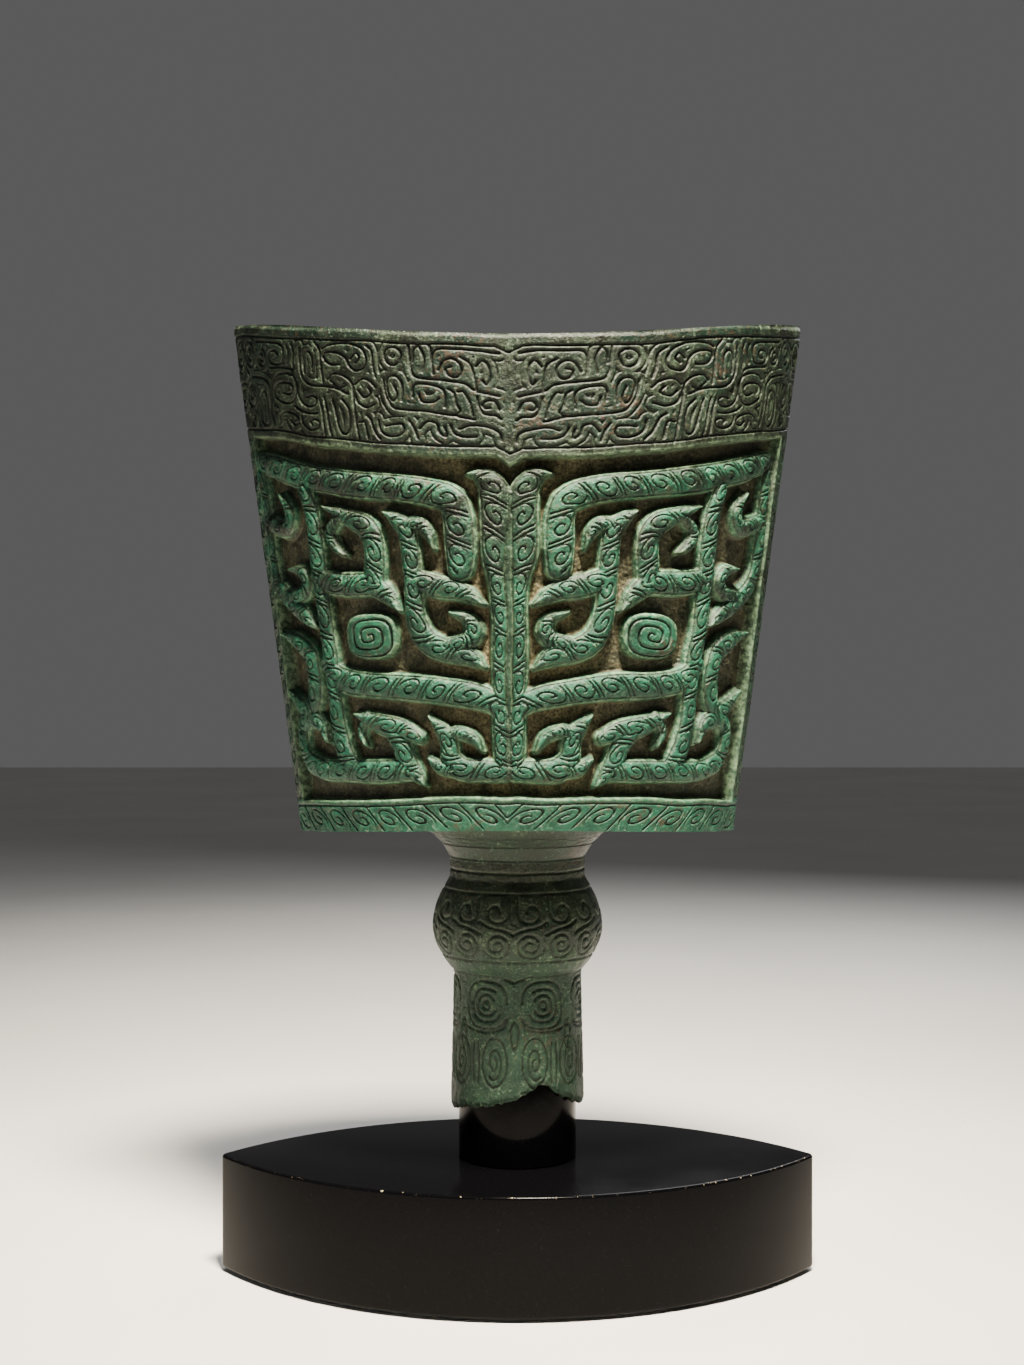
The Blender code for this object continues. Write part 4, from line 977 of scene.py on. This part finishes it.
def turnedPiece(name, home, profile, capped, fuzz=0.0, seed=0, sharpRows=()):
    # a profile of (radius, height) spun about the upright axis
    rows = np.asarray(profile, float)
    turn = directions(stand["round"])
    out, up = rows[:, :1] + 0 * turn, rows[:, 1:] + 0 * turn
    x, y = out * np.cos(turn), out * np.sin(turn)
    if fuzz:
        shrink = 1 - fuzz * (0.5 + 0.5 * lumps(x, y, up, 3.0, seed)) / np.maximum(out, 1)
        x, y = x * shrink, y * shrink
    return ringPiece(name, home, np.stack([x, y, up], -1), capped, sharpRows)


def roundEdge(radius, height, size, upper, steps=6):
    # quarter round from the flat face to the side, or back
    turn = np.linspace(0, math.pi / 2, steps)
    if upper:
        return [(radius - size * (1 - math.sin(t)), height - size * (1 - math.cos(t))) for t in turn]
    return [(radius - size * (1 - math.cos(t)), height + size * (1 - math.sin(t))) for t in turn]


def plinthBlock():
    # rounded below and above, where it is chipped; a negative size makes insets instead of radii
    edge = stand["edge"]
    levels = roundEdge(0, stand["bottom"], -edge, True, 7) + roundEdge(0, stand["top"], -edge, False, 7)
    wear = [0.0] * 7 + [0, 0.1, 0.4, 1.0, 1.0, 0.5, 0]
    lensBlock("plinth_block", ("stand", "plinth", "lacquer", lacquer), levels, wear)


def lacqueredPost():
    # the spigot's round top, a small fillet at its foot, the round shoulder and the post's foot
    spigot, shoulder, post = stand["spigot"], stand["shoulder"], stand["post"]
    profile = roundEdge(spigot, stand["spigotTop"], 1.2, True)
    profile += [(spigot, shoulder + 0.6), (spigot + 0.2, shoulder + 0.2), (spigot + 0.6, shoulder)]
    profile += roundEdge(post, shoulder, 1.0, True) + roundEdge(post, stand["postFoot"], 0.6, False)
    turnedPiece("post_lacquered", ("stand", "post", "lacquer", lacquer), profile, True)


def feltLining():
    # a sleeve round the spigot and a padded disc on top of it
    top, foot, rows = lining["top"], lining["foot"], lining["rows"]
    side = [(lining["out"], z) for z in np.linspace(top, foot, rows)]
    profile = [(lining["in"], top)] + side + [(lining["in"], foot)]
    turnedPiece("felt_lining", ("liner", "felt_sleeve", "felt", felt), profile, False, 0.5, 92,
                (0, 1, rows, rows + 1))
    profile = roundEdge(lining["seat"], lining["seatTop"], 1.2, True)
    profile += roundEdge(lining["seat"], lining["seatFoot"], 1.0, False)
    disc = turnedPiece("felt_seat", ("liner", "felt_seat_disc", "felt", felt), profile, True, 0.4, 93)


plinthBlock()
lensBlock("baize_underlay", ("stand", "baize_pad", "baize", baize), stand["baize"], 0.0, 0.3, 91, (0, -1))
lacqueredPost()
feltLining()
print("stand made")


# Floor, light and camera

studio = {"floorHalf": 6.0, "floor": "#cfcdc8", "mottle": "#d6d4d0", "mottleMm": 400, "world": "#dcdcdc",
          "worldStrength": 0.15}


def paleFloor():
    # matt painted studio floor: near white with a faint mottled tone
    material, tree, shader, where = startMaterial("mattStudioFloor")
    cover = spread(tree, grain(tree, where, studio["mottleMm"], 3), 0.3, 0.7)
    tone = blendColours(tree, cover, studio["floor"], studio["mottle"])
    plugIn(tree, shader, {"Base Color": tone, "Roughness": 0.75})
    half = studio["floorHalf"]
    mesh = bpy.data.meshes.new("studio_floor")
    corners = [(-half, -half, 0), (half, -half, 0), (half, half, 0), (-half, half, 0)]
    mesh.from_pydata(corners, [], [(0, 1, 2, 3)])
    mesh.materials.append(material)
    floor = addObject("studio_floor", mesh)


def softLight(name, place, aim, size, power, colour, spreadDegrees=180):
    # a square area light turned to face its aim
    light = bpy.data.lights.new(name, "AREA")
    light.size, light.energy, light.color = size, power, linear(colour)[:3]
    light.spread = math.radians(spreadDegrees)
    lamp = addObject(name, light)
    lamp.location = place
    way = np.array(aim) - np.array(place)
    lamp.rotation_euler = (math.atan2(math.hypot(way[0], way[1]), -way[2]), 0, math.atan2(-way[0], way[1]))


paleFloor()
softLight("key_over_front", (0.1, -0.5, 1.5), (0, -0.08, 0.42), 0.24, 31, "#fff1dc", 74)
softLight("fill_left", (-1.3, -0.9, 0.8), (0, 0, 0.3), 1.2, 1.6, "#eef3ff")
softLight("rim_behind", (0.5, 1.2, 1.3), (0, 0, 0.4), 0.9, 24, "#ffffff")
world = bpy.data.worlds.new("soft_studio")
world.use_nodes = True
plugIn(world.node_tree, world.node_tree.nodes["Background"],
       {"Color": linear(studio["world"]), "Strength": studio["worldStrength"]})
bpy.context.scene.world = world

photo = {"focalPx": 1781, "longSidePx": 1365, "sensorMm": 36, "distance": 1.0144, "height": 0.3345,
         "aside": -0.0031}
camera = addObject("photo_camera", bpy.data.cameras.new("photo_camera"))
camera.data.sensor_width = photo["sensorMm"]
camera.data.lens = photo["focalPx"] / photo["longSidePx"] * photo["sensorMm"]
camera.location = (photo["aside"], -photo["distance"], photo["height"])
camera.rotation_euler = (math.pi / 2, 0, 0)
camera.data.clip_start = 0.01
bpy.context.scene.camera = camera
print("light and camera set")
